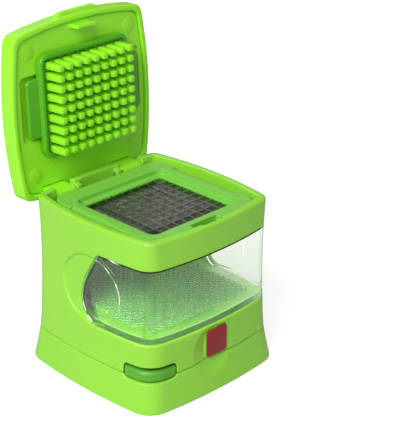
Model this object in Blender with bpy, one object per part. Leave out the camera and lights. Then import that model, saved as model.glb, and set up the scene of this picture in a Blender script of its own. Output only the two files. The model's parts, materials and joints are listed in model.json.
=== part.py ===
"""A hand-held vegetable dicer: a square body on a tray, a clear drawer, a blade cartridge and a pin lid.

Metres, +Z up. The origin is the centre of the base's underside. The front, where the drawer pulls out, is -Y,
and the lid's hinge runs along X at the back. The lid is modelled closed and turned open on its hinge line.
"""

from math import atan2, cos, pi, radians, sin, sqrt

import bmesh
import bpy
import numpy as np
from mathutils import Matrix, Vector

MM = 0.001

# Heights of the body, from the surface it stands on
SEAM_Z = 14.7 * MM
DECK_TOP_Z = 29.8 * MM
WAIST_Z = 46.0 * MM
BAND_Z = 61.8 * MM
RIM_Z = 74.1 * MM

# Half widths at the middle of a side, at those heights
FOOT_HALF = 40.0 * MM
SEAM_HALF = 38.0 * MM
DECK_HALF = 37.4 * MM
WAIST_HALF = 37.0 * MM
BAND_HALF = 36.9 * MM
RIM_HALF = 36.7 * MM

# How far each side bows out, and its corner radius
FOOT_BOW = 3.2 * MM
RIM_BOW = 4.1 * MM
BODY_CORNER = 10.0 * MM
BAND_CORNER = 8.5 * MM
RIM_CORNER = 4.7 * MM
RIM_CHAMFER = 1.0 * MM

# Walls and gaps
GAP = 0.3 * MM
BODY_WALL = 2.4 * MM
RIM_WALL = 3.0 * MM
DECK_THICK = 2.2 * MM
BASE_FLOOR = 2.2 * MM
SPIGOT_HEIGHT = 3.0 * MM
SPIGOT_WALL = 1.8 * MM
SPIGOT_CLEAR = 0.35 * MM
OVERCUT = 5.0 * MM

# The mouth that the drawer fills, as seen from the side
MOUTH_TOP_Y = -7.0 * MM
MOUTH_BOTTOM_Y = -3.2 * MM
MOUTH_BULGE_Y = 12.0 * MM
MOUTH_BULGE_Z = 38.0 * MM

# The clear drawer
DRAWER_WALL = 1.8 * MM
DRAWER_FLOOR = 2.0 * MM
DRAWER_CLEAR = 0.4 * MM

# Oval finger dimples on both sides, and the round thumb dish at the front
DIMPLE_Y = -2.5 * MM
DIMPLE_Z = 45.3 * MM
DIMPLE_HALF_LENGTH = 16.3 * MM
DIMPLE_HALF_HEIGHT = 14.6 * MM
DIMPLE_DEPTH = 0.8 * MM
DISH_X = -2.6 * MM
DISH_Z = 20.8 * MM
DISH_HALF_HEIGHT = 10.6 * MM
DISH_HALF_WIDTH = 12.6 * MM
DISH_DEPTH = 1.0 * MM

# The plain badge
BADGE_WIDTH = 11.0 * MM
BADGE_HEIGHT = 11.8 * MM
BADGE_CORNER = 1.0 * MM
BADGE_THICK = 0.9 * MM
BADGE_PROUD = 0.35 * MM
BADGE_Z = 22.0 * MM

# The corner release tab, on the front left corner
TAB_HALF_WIDTH = 10.2 * MM
TAB_DEPTH = 14.0 * MM
TAB_BOTTOM_Z = 13.6 * MM
TAB_HEIGHT = 4.7 * MM
TAB_SLOT = 1.1 * MM
TAB_THICK = 2.2 * MM
TAB_SET_IN = 0.2 * MM
TAB_STEM_WIDTH = 5.0 * MM
TAB_STEM_HEIGHT = 3.0 * MM
TAB_STEM_LENGTH = 11.0 * MM
TAB_CHEEK = 1.6 * MM
TAB_CHEEK_LENGTH = 6.0 * MM

# The blade cartridge
CARTRIDGE_SIDE = 60.0 * MM
CARTRIDGE_CORNER = 6.5 * MM
CARTRIDGE_Y = -1.4 * MM
SEAT_DROP = 8.2 * MM
SEAT_Z = RIM_Z - SEAT_DROP
SEAT_OPENING = 50.0 * MM
LOWER_FRAME_HEIGHT = 3.1 * MM
UPPER_FRAME_HEIGHT = 3.0 * MM
FRAME_LIP = 0.8 * MM
POCKET_WIDTH = 49.0 * MM
POCKET_LENGTH = 46.0 * MM
POCKET_CORNER = 4.0 * MM
POCKET_DEPTH = 2.0 * MM
FRAME_EDGE = 0.7 * MM
SIDE_STEP_LENGTH = 36.0 * MM
SIDE_STEP_WIDTH = 2.2 * MM
SIDE_STEP_DEPTH = 1.2 * MM
NOTCH_WIDTH = 15.0 * MM
NOTCH_DEPTH = 2.6 * MM

# The grid that the blades, the pins and the comb share
CELLS = 9
PITCH_X = 4.7 * MM
PITCH_Y = 4.4 * MM
GRID_Y = -3.0 * MM
BLADE_THICK = 0.4 * MM
BLADE_END = 2.5 * MM
BLADE_RISE = 3.1 * MM
BLADE_SLOT_CLEAR = 0.15 * MM
BLADE_CLEAR = 0.3 * MM
WINDOW_MARGIN = 0.3 * MM
WINDOW_CORNER = 1.0 * MM

# The lid
LID_HALF = 37.6 * MM
LID_BOW = 3.8 * MM
LID_CORNER = 4.7 * MM
LID_HEIGHT = 8.0 * MM
LID_GAP = 0.8 * MM
LID_WALL = 2.4 * MM
LID_TOP = 2.2 * MM
LID_EDGE = 1.6 * MM
LID_EDGE_MIDDLE = 0.3
LID_OPEN_DEG = 93.1
HINGE_SET_IN = 3.1 * MM
HINGE_DROP = 4.2 * MM
HINGE_Y = RIM_HALF - HINGE_SET_IN
HINGE_Z = RIM_Z - HINGE_DROP
EAR_INNER_X = 13.0 * MM
EAR_OUTER_X = 24.0 * MM
EAR_RADIUS = 2.6 * MM
EAR_SIDE_CLEAR = 0.3 * MM
BOSS_LENGTH = 3.0 * MM
HINGE_PIN_RADIUS = 1.1 * MM
HINGE_PIN_CLEAR = 0.08 * MM
PANEL_SET_IN = 1.0 * MM
PANEL_THICK = 2.5 * MM
PANEL_CLEAR = 0.3 * MM
PIN_SIDE = 3.0 * MM
PIN_LENGTH = 10.8 * MM
PIN_TAPER = 0.82
HOOK_WIDTH = 10.0 * MM
HOOK_THICK = 1.6 * MM
HOOK_DROP = 5.4 * MM
HOOK_CLEAR = 0.4 * MM
HOOK_SET_IN = 0.8 * MM
LIP_WIDTH = 24.0 * MM
LIP_REACH = 2.0 * MM
LIP_HEIGHT = 2.6 * MM

# The cleaning comb that rides on the pins
COMB_WIDTH = 48.0 * MM
COMB_LENGTH = 43.6 * MM
COMB_Y = GRID_Y - 0.6 * MM
COMB_CORNER = 4.0 * MM
COMB_PLATE = 1.6 * MM
COMB_RING = 1.7 * MM
COMB_RING_RISE = 1.4 * MM
COMB_PIN_CLEAR = 0.3 * MM
COMB_TAB_LENGTH = 25.0 * MM
COMB_TAB_REACH = 6.3 * MM
COMB_TAB_RECESS_CLEAR = 1.2 * MM
COMB_TAB_RECESS_END = 2.0 * MM
COMB_TAB_RECESS_DEPTH = 0.9 * MM

GREEN = (0.36, 0.80, 0.07, 1.0)
LID_GREEN = (0.30, 0.72, 0.06, 1.0)
COMB_GREEN = (0.05, 0.30, 0.02, 1.0)
CARTRIDGE_GREEN = (0.26, 0.66, 0.12, 1.0)
TAB_GREEN = (0.16, 0.52, 0.06, 1.0)
BADGE_RED = (0.45, 0.01, 0.03, 1.0)
STEEL = (0.62, 0.62, 0.60, 1.0)
CLEAR = (0.92, 0.97, 0.94, 0.3)


# Scene and materials


def clear_scene():
    for item in list(bpy.data.objects):
        bpy.data.objects.remove(item, do_unlink=True)


def new_collection(name):
    made = bpy.data.collections.new(name)
    bpy.context.scene.collection.children.link(made)
    return made


clear_scene()
PARTS = new_collection("vegetable_dicer")
CUTTERS = new_collection("cutters")


def material(name, colour, roughness, metallic=0.0, transmission=0.0):
    made = bpy.data.materials.new(name)
    made.use_nodes = True
    shader = made.node_tree.nodes["Principled BSDF"]
    shader.inputs["Base Color"].default_value = colour
    shader.inputs["Roughness"].default_value = roughness
    shader.inputs["Metallic"].default_value = metallic
    shader.inputs["Transmission Weight"].default_value = transmission
    return made


BODY_PLASTIC = material("body_plastic", GREEN, 0.35)
LID_PLASTIC = material("lid_plastic", LID_GREEN, 0.35)
COMB_PLASTIC = material("comb_plastic", COMB_GREEN, 0.4)
CARTRIDGE_PLASTIC = material("cartridge_plastic", CARTRIDGE_GREEN, 0.35)
TAB_PLASTIC = material("tab_plastic", TAB_GREEN, 0.4)
BADGE_INK = material("badge_red", BADGE_RED, 0.3)
BLADE_STEEL = material("blade_steel", STEEL, 0.25, metallic=1.0)
CLEAR_PLASTIC = material("clear_plastic", CLEAR, 0.05, transmission=1.0)


# Outlines


def bowed_square(half, bow, corner, centre=(0.0, 0.0), side_steps=4, corner_steps=4):
    """Points round a square with bowed sides and round corners; half is at a side's middle."""
    big = (half * half + bow * bow) / (2 * bow)
    b = -2 * (half - big)
    c = (half - big) ** 2 - (big - corner) ** 2
    k = (-b + sqrt(b * b - 8 * c)) / 4
    turn = atan2(k, k - (half - big))
    quarter = []
    for i in range(side_steps):
        angle = -turn + 2 * turn * i / side_steps
        quarter.append((half - big + big * cos(angle), big * sin(angle)))
    for i in range(corner_steps):
        angle = turn + (pi / 2 - 2 * turn) * i / corner_steps
        quarter.append((k + corner * cos(angle), k + corner * sin(angle)))
    points = []
    for n in range(4):
        for x, y in quarter:
            x, y = ((x, y), (-y, x), (-x, -y), (y, -x))[n]
            points.append((x + centre[0], y + centre[1]))
    return points


def round_square(width, depth, corner, centre=(0.0, 0.0), steps=4):
    """Points round a rectangle with round corners, counterclockwise."""
    points = []
    for n, (sx, sy) in enumerate(((1, 1), (-1, 1), (-1, -1), (1, -1))):
        x = centre[0] + sx * (width / 2 - corner)
        y = centre[1] + sy * (depth / 2 - corner)
        for i in range(steps + 1):
            angle = pi / 2 * (n + i / steps)
            points.append((x + corner * cos(angle), y + corner * sin(angle)))
    return points


HEIGHTS = (0.0, SEAM_Z, DECK_TOP_Z, WAIST_Z, BAND_Z, RIM_Z)


def body_outline(z, inset=0.0):
    """The body's outline at a height, drawn in by inset."""
    half = np.interp(z, HEIGHTS, (FOOT_HALF, SEAM_HALF, DECK_HALF, WAIST_HALF, BAND_HALF, RIM_HALF))
    bow = np.interp(z, (0.0, RIM_Z), (FOOT_BOW, RIM_BOW))
    corner = np.interp(z, (0.0, WAIST_Z, BAND_Z, RIM_Z), (BODY_CORNER, BODY_CORNER, BAND_CORNER, RIM_CORNER))
    return bowed_square(float(half) - inset, float(bow), max(float(corner) - inset, 0.8 * MM))


def body_levels(low, high):
    """The heights at which a stretch of the body needs a section."""
    return [low] + [z for z in HEIGHTS if low + MM < z < high - MM] + [high]


# Solids


def add_object(name, mesh, paint=None, parent=None, location=(0.0, 0.0, 0.0)):
    made = bpy.data.objects.new(name, mesh)
    (CUTTERS if paint is None else PARTS).objects.link(made)
    if paint is None:
        made.hide_render = True
        made.display_type = "WIRE"
    else:
        mesh.materials.append(paint)
    made.location = location
    if parent:
        made.parent = parent
    return made


def mesh_of(bm, name):
    bmesh.ops.recalc_face_normals(bm, faces=bm.faces)
    mesh = bpy.data.meshes.new(name)
    bm.to_mesh(mesh)
    bm.free()
    return mesh


def loft_mesh(name, sections):
    """A closed solid through sections of equal point count, each an outline and its height."""
    bm = bmesh.new()
    rings = [[bm.verts.new((x, y, z)) for x, y in outline] for outline, z in sections]
    for low, high in zip(rings, rings[1:]):
        for i in range(len(low)):
            j = (i + 1) % len(low)
            bm.faces.new((low[i], low[j], high[j], high[i]))
    bm.faces.new(rings[0][::-1])
    bm.faces.new(rings[-1])
    return mesh_of(bm, name)


def prism_mesh(name, outline, low, high, axis="Z"):
    """An outline extruded along Z, or along X with the outline's points read as (y, z)."""
    bm = bmesh.new()
    if axis == "Z":
        face = bm.faces.new([bm.verts.new((x, y, low)) for x, y in outline])
        along = (0, 0, high - low)
    else:
        face = bm.faces.new([bm.verts.new((low, y, z)) for y, z in outline])
        along = (high - low, 0, 0)
    grown = bmesh.ops.extrude_face_region(bm, geom=[face])["geom"]
    bmesh.ops.translate(bm, verts=[v for v in grown if isinstance(v, bmesh.types.BMVert)], vec=along)
    return mesh_of(bm, name)


def box_mesh(name, low, high):
    bm = bmesh.new()
    bmesh.ops.create_cube(bm, size=1.0)
    bmesh.ops.scale(bm, vec=[b - a for a, b in zip(low, high)], verts=bm.verts)
    bmesh.ops.translate(bm, vec=[(a + b) / 2 for a, b in zip(low, high)], verts=bm.verts)
    return mesh_of(bm, name)


def rod_mesh(name, low_x, high_x, radius, y, z, sides=16):
    """A round rod along X."""
    bm = bmesh.new()
    turn = Matrix.Translation(((low_x + high_x) / 2, y, z)) @ Matrix.Rotation(pi / 2, 4, "Y")
    bmesh.ops.create_cone(
        bm, cap_ends=True, segments=sides, radius1=radius, radius2=radius, depth=high_x - low_x, matrix=turn
    )
    return mesh_of(bm, name)


def body_mesh(name, low, high, inset):
    return loft_mesh(name, [(body_outline(z, inset), z) for z in body_levels(low, high)])


def cutter(mesh):
    return add_object(mesh.name, mesh)


def combine(target, operation, *tools):
    for tool in tools:
        modifier = target.modifiers.new(f"{operation.lower()}_{tool.name}", "BOOLEAN")
        modifier.operation = operation
        modifier.object = tool
        modifier.solver = "EXACT"
    return target


def cut(target, *tools):
    return combine(target, "DIFFERENCE", *tools)


def join(target, *tools):
    return combine(target, "UNION", *tools)


# Shapes that more than one piece uses


def mouth_outline(gap=0.0, beyond=0.0, steps=8):
    """The drawer's mouth from the side as (y, z), drawn in by gap. Its back edge is one swelling curve.

    Beyond carries it straight on past its top and bottom.
    """
    top = (MOUTH_TOP_Y - gap, BAND_Z - gap)
    middle = (MOUTH_BULGE_Y - gap, MOUTH_BULGE_Z)
    bottom = (MOUTH_BOTTOM_Y - gap, DECK_TOP_Z + gap)
    front = -FOOT_HALF - OVERCUT
    curve = []
    for i in range(steps + 1):
        t = i / steps
        curve.append(tuple(
            (1 - t) ** 2 * a + 2 * t * (1 - t) * b + t * t * c for a, b, c in zip(bottom, middle, top)
        ))
    if beyond:
        curve = [(bottom[0], bottom[1] - beyond)] + curve + [(top[0], top[1] + beyond)]
    return [(front, curve[0][1])] + curve + [(front, curve[-1][1])]


def mouth_prism(name, gap=0.0, beyond=0.0):
    reach = FOOT_HALF + OVERCUT
    return cutter(prism_mesh(name, mouth_outline(gap, beyond), -reach, reach, axis="X"))


def dimple_ring(name):
    """What both finger dimples take away: an oval bar, less the body drawn in by the dimple's depth."""
    oval = [
        (DIMPLE_Y + DIMPLE_HALF_LENGTH * cos(a), DIMPLE_Z + DIMPLE_HALF_HEIGHT * sin(a))
        for a in np.linspace(0, 2 * pi, 28, endpoint=False)
    ]
    reach = FOOT_HALF + OVERCUT
    bar = cutter(prism_mesh(name, oval, -reach, reach, axis="X"))
    return cut(bar, cutter(body_mesh(name + "_core", SEAM_Z, RIM_Z, DIMPLE_DEPTH)))


def thumb_dish():
    """A wide shallow ball, drawn out sideways, that dents the front across the seam."""
    ball = (DISH_HALF_HEIGHT**2 + DISH_DEPTH**2) / (2 * DISH_DEPTH)
    bm = bmesh.new()
    bmesh.ops.create_uvsphere(bm, u_segments=56, v_segments=40, radius=ball)
    front = float(np.interp(DISH_Z, HEIGHTS[:3], (FOOT_HALF, SEAM_HALF, DECK_HALF)))
    bmesh.ops.scale(bm, vec=(DISH_HALF_WIDTH / DISH_HALF_HEIGHT, 1, 1), verts=bm.verts)
    bmesh.ops.translate(bm, vec=(DISH_X, DISH_DEPTH - ball - front, DISH_Z), verts=bm.verts)
    return cutter(mesh_of(bm, "cut_thumb_dish"))


DIAGONAL = Vector((1, 1, 0)).normalized()
HOOK_FRONT_Y = -(LID_HALF - LID_WALL - PANEL_CLEAR - HOOK_SET_IN)
WINDOW = (CELLS * PITCH_X + 2 * WINDOW_MARGIN, CELLS * PITCH_Y + 2 * WINDOW_MARGIN)
POCKET = (POCKET_WIDTH, POCKET_LENGTH)
DISH = thumb_dish()


# Base tray and its release tab


def diagonal_bar(name, start, length, width, low, high):
    """A bar along the front left corner's diagonal; start is its distance from the axis."""
    mesh = box_mesh(name, (start, -width / 2, low), (start + length, width / 2, high))
    mesh.transform(Matrix.Rotation(pi / 4, 4, "Z"))
    return mesh


TAB_CORNER = -max(np.hypot(x, y) for x, y in body_outline(SEAM_Z))


def tab_bar(name, low, high, clear=0.0):
    """The corner that the tab fills. Its ends lie along the diagonal that the tab slides on."""
    width = 2 * (TAB_HALF_WIDTH + clear)
    return cutter(diagonal_bar(name, TAB_CORNER - OVERCUT, OVERCUT + TAB_DEPTH, width, low, high))


STEM_START = TAB_CORNER + TAB_SET_IN + TAB_THICK / 2
STEM_LOW = TAB_BOTTOM_Z + (TAB_HEIGHT - TAB_STEM_HEIGHT) / 2


def make_base():
    base = add_object("base_tray", body_mesh("base_tray", 0.0, SEAM_Z, 0.0), BODY_PLASTIC)
    spigot_inset = BODY_WALL + SPIGOT_CLEAR
    spigot = body_mesh("add_spigot", SEAM_Z - BASE_FLOOR, SEAM_Z + SPIGOT_HEIGHT, spigot_inset)
    hollow = body_mesh("cut_base_hollow", BASE_FLOOR, SEAM_Z + OVERCUT, spigot_inset + SPIGOT_WALL)
    notch = tab_bar("cut_base_tab", TAB_BOTTOM_Z - GAP, SEAM_Z + OVERCUT, GAP)
    join(base, cutter(spigot))
    cut(base, cutter(hollow), notch, DISH)
    offset = (TAB_STEM_WIDTH + TAB_CHEEK) / 2 + GAP
    start = STEM_START + TAB_STEM_LENGTH - TAB_CHEEK_LENGTH
    for side in (-1, 1):
        cheek = box_mesh(
            f"add_cheek_{side}",
            (start, side * offset - TAB_CHEEK / 2, BASE_FLOOR / 2),
            (start + TAB_CHEEK_LENGTH, side * offset + TAB_CHEEK / 2, STEM_LOW + TAB_STEM_HEIGHT),
        )
        cheek.transform(Matrix.Rotation(pi / 4, 4, "Z"))
        join(base, cutter(cheek))
    shelf_width = TAB_STEM_WIDTH + TAB_CHEEK + 2 * GAP
    shelf = diagonal_bar(
        "add_stem_shelf", start, TAB_CHEEK_LENGTH, shelf_width, BASE_FLOOR / 2, STEM_LOW - GAP
    )
    join(base, cutter(shelf))
    return base


def make_tab():
    top = TAB_BOTTOM_Z + TAB_HEIGHT
    tab = add_object("release_tab", body_mesh("release_tab", TAB_BOTTOM_Z, top, TAB_SET_IN), TAB_PLASTIC)
    inside = body_mesh("cut_tab_inside", 0.0, RIM_Z, TAB_SET_IN + TAB_THICK)
    cut(tab, cutter(inside))
    combine(tab, "INTERSECT", tab_bar("keep_tab", TAB_BOTTOM_Z - OVERCUT, top + OVERCUT))
    stem = diagonal_bar(
        "add_tab_stem", STEM_START, TAB_STEM_LENGTH, TAB_STEM_WIDTH, STEM_LOW, STEM_LOW + TAB_STEM_HEIGHT
    )
    join(tab, cutter(stem))
    return tab


# Housing


def hinge_spans():
    """The stretches along X of both lid ears."""
    return ((-EAR_OUTER_X, -EAR_INNER_X), (EAR_INNER_X, EAR_OUTER_X))


def make_housing():
    low = SEAM_Z + GAP
    levels = body_levels(low, RIM_Z - RIM_CHAMFER)
    sections = [(body_outline(z), z) for z in levels] + [(body_outline(RIM_Z, RIM_CHAMFER), RIM_Z)]
    housing = add_object("housing", loft_mesh("housing", sections), BODY_PLASTIC)
    ledge_low = BAND_Z + GAP
    cut(
        housing,
        cutter(body_mesh("cut_compartment", low - OVERCUT, DECK_TOP_Z - DECK_THICK, BODY_WALL)),
        cutter(body_mesh("cut_drawer_bay", DECK_TOP_Z, ledge_low, BODY_WALL)),
        mouth_prism("cut_mouth"),
        cutter(prism_mesh(
            "cut_seat_opening",
            round_square(SEAT_OPENING, SEAT_OPENING, POCKET_CORNER, (0, CARTRIDGE_Y)),
            BAND_Z - MM,
            SEAT_Z + MM,
        )),
    )
    well = [(body_outline(RIM_Z, RIM_WALL), z) for z in (SEAT_Z, RIM_Z + OVERCUT)]
    cut(housing, cutter(loft_mesh("cut_well", well)))
    for n, (start, end) in enumerate(hinge_spans()):
        block = box_mesh(
            f"add_boss_{n}",
            (start - BOSS_LENGTH, HINGE_Y - EAR_RADIUS, SEAT_Z - MM),
            (end + BOSS_LENGTH, RIM_HALF - RIM_WALL / 2, HINGE_Z + EAR_RADIUS),
        )
        gap = box_mesh(
            f"cut_ear_{n}",
            (start - EAR_SIDE_CLEAR, HINGE_Y - EAR_RADIUS - OVERCUT, SEAT_Z),
            (end + EAR_SIDE_CLEAR, RIM_HALF + OVERCUT, RIM_Z + OVERCUT),
        )
        bore = rod_mesh(
            f"cut_bore_{n}",
            start - BOSS_LENGTH - MM,
            end + BOSS_LENGTH + MM,
            HINGE_PIN_RADIUS + HINGE_PIN_CLEAR,
            HINGE_Y,
            HINGE_Z,
        )
        join(housing, cutter(block))
        cut(housing, cutter(gap), cutter(bore))
    recess = box_mesh(
        "cut_hook_recess",
        (-HOOK_WIDTH / 2 - 2 * HOOK_CLEAR, HOOK_FRONT_Y - HOOK_CLEAR, SEAT_Z + GAP),
        (HOOK_WIDTH / 2 + 2 * HOOK_CLEAR, -RIM_HALF + 2 * RIM_WALL, RIM_Z + OVERCUT),
    )
    tab_room = tab_bar("cut_housing_tab", 0.0, TAB_BOTTOM_Z + TAB_HEIGHT + TAB_SLOT, GAP)
    cut(housing, cutter(recess), dimple_ring("cut_housing_dimple"), tab_room, DISH)
    pad_half = (BADGE_WIDTH / 2, BADGE_HEIGHT / 2)
    pad = box_mesh(
        "add_badge_pad",
        (-pad_half[0], -BADGE_FACE_Y + BADGE_THICK - BADGE_PROUD + GAP, BADGE_Z - pad_half[1]),
        (pad_half[0], -DECK_HALF + BODY_WALL - SPIGOT_CLEAR, BADGE_Z + pad_half[1]),
    )
    pocket = box_mesh(
        "cut_badge_pocket",
        (-pad_half[0] - GAP, -FOOT_HALF - OVERCUT, BADGE_Z - pad_half[1] - GAP),
        (pad_half[0] + GAP, -BADGE_FACE_Y + BADGE_THICK - BADGE_PROUD + GAP, BADGE_Z + pad_half[1] + GAP),
    )
    join(housing, cutter(pad))
    cut(housing, cutter(pocket))
    return housing


BADGE_FACE_Y = float(np.interp(BADGE_Z, HEIGHTS[:3], (FOOT_HALF, SEAM_HALF, DECK_HALF)))


def make_badge():
    front = -BADGE_FACE_Y - BADGE_PROUD
    outline = round_square(BADGE_WIDTH, BADGE_HEIGHT, BADGE_CORNER)
    mesh = prism_mesh("badge", outline, 0.0, BADGE_THICK)
    mesh.transform(Matrix.Translation((0, front + BADGE_THICK, BADGE_Z)) @ Matrix.Rotation(pi / 2, 4, "X"))
    return add_object("badge", mesh, BADGE_INK)


def make_hinge_pins():
    for side, (start, end) in zip(("left", "right"), hinge_spans()):
        mesh = rod_mesh(f"hinge_pin_{side}", start - BOSS_LENGTH, end + BOSS_LENGTH, HINGE_PIN_RADIUS, 0, 0)
        add_object(f"hinge_pin_{side}", mesh, BLADE_STEEL, location=(0, HINGE_Y, HINGE_Z))


# Clear drawer


def drawer_space(name, low, high, wall):
    """The space that the drawer fills, drawn in by a wall.

    It is flush with the body in the mouth, and inside the body's wall behind it.
    """
    space = cutter(body_mesh(name, low, high, wall))
    back = cutter(body_mesh(name + "_back", low - OVERCUT, high + OVERCUT, BODY_WALL + DRAWER_CLEAR + wall))
    join(back, mouth_prism(name + "_front", GAP + wall, OVERCUT))
    return combine(space, "INTERSECT", back)


def make_drawer():
    low = DECK_TOP_Z + GAP
    high = BAND_Z - GAP
    drawer = add_object("drawer", body_mesh("drawer", low, high, 0.0), CLEAR_PLASTIC)
    back = cutter(body_mesh("keep_drawer_back", low - OVERCUT, high + OVERCUT, BODY_WALL + DRAWER_CLEAR))
    combine(drawer, "INTERSECT", join(back, mouth_prism("keep_drawer_front", GAP, OVERCUT)))
    inside = drawer_space("cut_drawer_inside", low + DRAWER_FLOOR, high + OVERCUT, DRAWER_WALL)
    cut(drawer, inside, dimple_ring("cut_drawer_dimple"))
    return drawer


# Blade cartridge

CARTRIDGE_LOW = SEAT_Z + GAP
LOWER_TOP = CARTRIDGE_LOW + LOWER_FRAME_HEIGHT
UPPER_LOW = LOWER_TOP + GAP
CARTRIDGE_TOP = UPPER_LOW + UPPER_FRAME_HEIGHT
BLADE_LOW = CARTRIDGE_LOW + FRAME_LIP + BLADE_CLEAR
BLADE_TOP = BLADE_LOW + BLADE_RISE
HALF_SIDE = CARTRIDGE_SIDE / 2
TIP_POINT = (
    Vector((0, CARTRIDGE_Y, CARTRIDGE_TOP))
    - DIAGONAL * ((HALF_SIDE - CARTRIDGE_CORNER) * sqrt(2) + CARTRIDGE_CORNER)
)


def tip_pivot():
    """An empty on the line that the cartridge tips about, through its top front left corner."""
    pivot = bpy.data.objects.new("cartridge_pivot", None)
    PARTS.objects.link(pivot)
    pivot.location = TIP_POINT
    return pivot


def about_tip(mesh):
    mesh.transform(Matrix.Translation(-TIP_POINT))
    return mesh


def frame_outline(shrink=0.0):
    side = CARTRIDGE_SIDE - 2 * shrink
    return round_square(side, side, CARTRIDGE_CORNER - shrink, (0, CARTRIDGE_Y))


def grid_hole(name, size, corner, low, high):
    """A hole round the grid of blades; size is its width along X and its length along Y."""
    return cutter(prism_mesh(name, round_square(*size, corner, (0, GRID_Y)), low, high))


def move_to_tip(item):
    """Seats a frame's mesh and its cutters about the tipping line."""
    item.data.transform(Matrix.Translation(-TIP_POINT))
    for modifier in item.modifiers:
        modifier.object.data.transform(Matrix.Translation(-TIP_POINT))
        modifier.object.location = TIP_POINT


def make_lower_frame(pivot):
    mesh = loft_mesh("lower_frame", [
        (frame_outline(FRAME_EDGE), CARTRIDGE_LOW),
        (frame_outline(), CARTRIDGE_LOW + FRAME_EDGE),
        (frame_outline(), LOWER_TOP),
    ])
    frame = add_object("lower_frame", mesh, CARTRIDGE_PLASTIC, pivot)
    cut(
        frame,
        grid_hole("cut_lower_window", WINDOW, WINDOW_CORNER, CARTRIDGE_LOW - MM, LOWER_TOP + MM),
        grid_hole("cut_blade_pocket", POCKET, POCKET_CORNER, CARTRIDGE_LOW + FRAME_LIP, LOWER_TOP + MM),
        front_notch("cut_lower_notch"),
    )
    move_to_tip(frame)
    return frame


def front_notch(name):
    front = CARTRIDGE_Y - HALF_SIDE
    return cutter(box_mesh(
        name,
        (-NOTCH_WIDTH / 2, front - OVERCUT, CARTRIDGE_LOW - MM),
        (NOTCH_WIDTH / 2, front + NOTCH_DEPTH, CARTRIDGE_TOP + MM),
    ))


def make_upper_frame(pivot):
    mesh = loft_mesh("upper_frame", [
        (frame_outline(), UPPER_LOW),
        (frame_outline(), CARTRIDGE_TOP - FRAME_EDGE),
        (frame_outline(FRAME_EDGE), CARTRIDGE_TOP),
    ])
    frame = add_object("upper_frame", mesh, CARTRIDGE_PLASTIC, pivot)
    cut(
        frame,
        grid_hole("cut_upper_window", WINDOW, WINDOW_CORNER, UPPER_LOW - MM, CARTRIDGE_TOP),
        grid_hole("cut_pocket", POCKET, POCKET_CORNER, CARTRIDGE_TOP - POCKET_DEPTH, CARTRIDGE_TOP + MM),
        front_notch("cut_upper_notch"),
    )
    for side in (-1, 1):
        ends = sorted((side * (HALF_SIDE - SIDE_STEP_WIDTH), side * (HALF_SIDE + OVERCUT)))
        cut(frame, cutter(box_mesh(
            f"cut_side_step_{side}",
            (ends[0], CARTRIDGE_Y - SIDE_STEP_LENGTH / 2, CARTRIDGE_TOP - SIDE_STEP_DEPTH),
            (ends[1], CARTRIDGE_Y + SIDE_STEP_LENGTH / 2, CARTRIDGE_TOP + MM),
        )))
    move_to_tip(frame)
    return frame


def blade_outline(pitch, slots_up):
    """A blade from the side as (along, z): a bar with lower ends, slotted halfway at each crossing."""
    half = CELLS * pitch / 2
    end_top = LOWER_TOP - BLADE_CLEAR
    middle = (BLADE_LOW + BLADE_TOP) / 2
    slot = BLADE_THICK / 2 + BLADE_SLOT_CLEAR
    crossings = [(n + 1) * pitch - half for n in range(CELLS - 1)]
    low = [(-half - BLADE_END, end_top), (-half - BLADE_END, BLADE_LOW)]
    high = [(half + BLADE_END, BLADE_LOW), (half + BLADE_END, end_top), (half, end_top), (half, BLADE_TOP)]
    if slots_up:
        for s in reversed(crossings):
            floor = middle - BLADE_SLOT_CLEAR
            high += [(s + slot, BLADE_TOP), (s + slot, floor), (s - slot, floor), (s - slot, BLADE_TOP)]
    else:
        for s in crossings:
            roof = middle + BLADE_SLOT_CLEAR
            low += [(s - slot, BLADE_LOW), (s - slot, roof), (s + slot, roof), (s + slot, BLADE_LOW)]
    return low + high + [(-half, BLADE_TOP), (-half, end_top)]


def make_blades(pivot):
    """Two sets of blades that interlock at half depth: those along Y are numbered from the left."""
    for n in range(CELLS - 1):
        step = n + 1 - CELLS / 2
        half = BLADE_THICK / 2
        x, y = step * PITCH_X, step * PITCH_Y
        along_y = prism_mesh(f"blade_y{n + 1}", blade_outline(PITCH_Y, False), x - half, x + half, axis="X")
        along_y.transform(Matrix.Translation((0, GRID_Y, 0)))
        add_object(f"blade_y{n + 1}", about_tip(along_y), BLADE_STEEL, pivot)
        along_x = prism_mesh(f"blade_x{n + 1}", blade_outline(PITCH_X, True), -half, half, axis="X")
        along_x.transform(Matrix.Translation((0, GRID_Y + y, 0)) @ Matrix.Rotation(pi / 2, 4, "Z"))
        add_object(f"blade_x{n + 1}", about_tip(along_x), BLADE_STEEL, pivot)


# Lid, modelled closed about its hinge line and opened by the turn of its pivot

HINGE = Vector((0, HINGE_Y, HINGE_Z))
LID_LOW = RIM_Z + LID_GAP
LID_HIGH = LID_LOW + LID_HEIGHT
PANEL_LOW = LID_LOW + PANEL_SET_IN
STEPS = [n - (CELLS - 1) / 2 for n in range(CELLS)]
GRID_CENTRES = [(x * PITCH_X, y * PITCH_Y + GRID_Y) for x in STEPS for y in STEPS]


def lid_outline(inset=0.0):
    return bowed_square(LID_HALF - inset, LID_BOW, max(LID_CORNER - inset, 1.0 * MM))


def about_hinge(mesh):
    mesh.transform(Matrix.Translation(-HINGE))
    return mesh


def lid_pivot():
    pivot = bpy.data.objects.new("lid_pivot", None)
    PARTS.objects.link(pivot)
    pivot.location = HINGE
    pivot.rotation_euler.x = -radians(LID_OPEN_DEG)
    return pivot


def lid_cutter(mesh, pivot):
    made = cutter(about_hinge(mesh))
    made.parent = pivot
    return made


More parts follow.
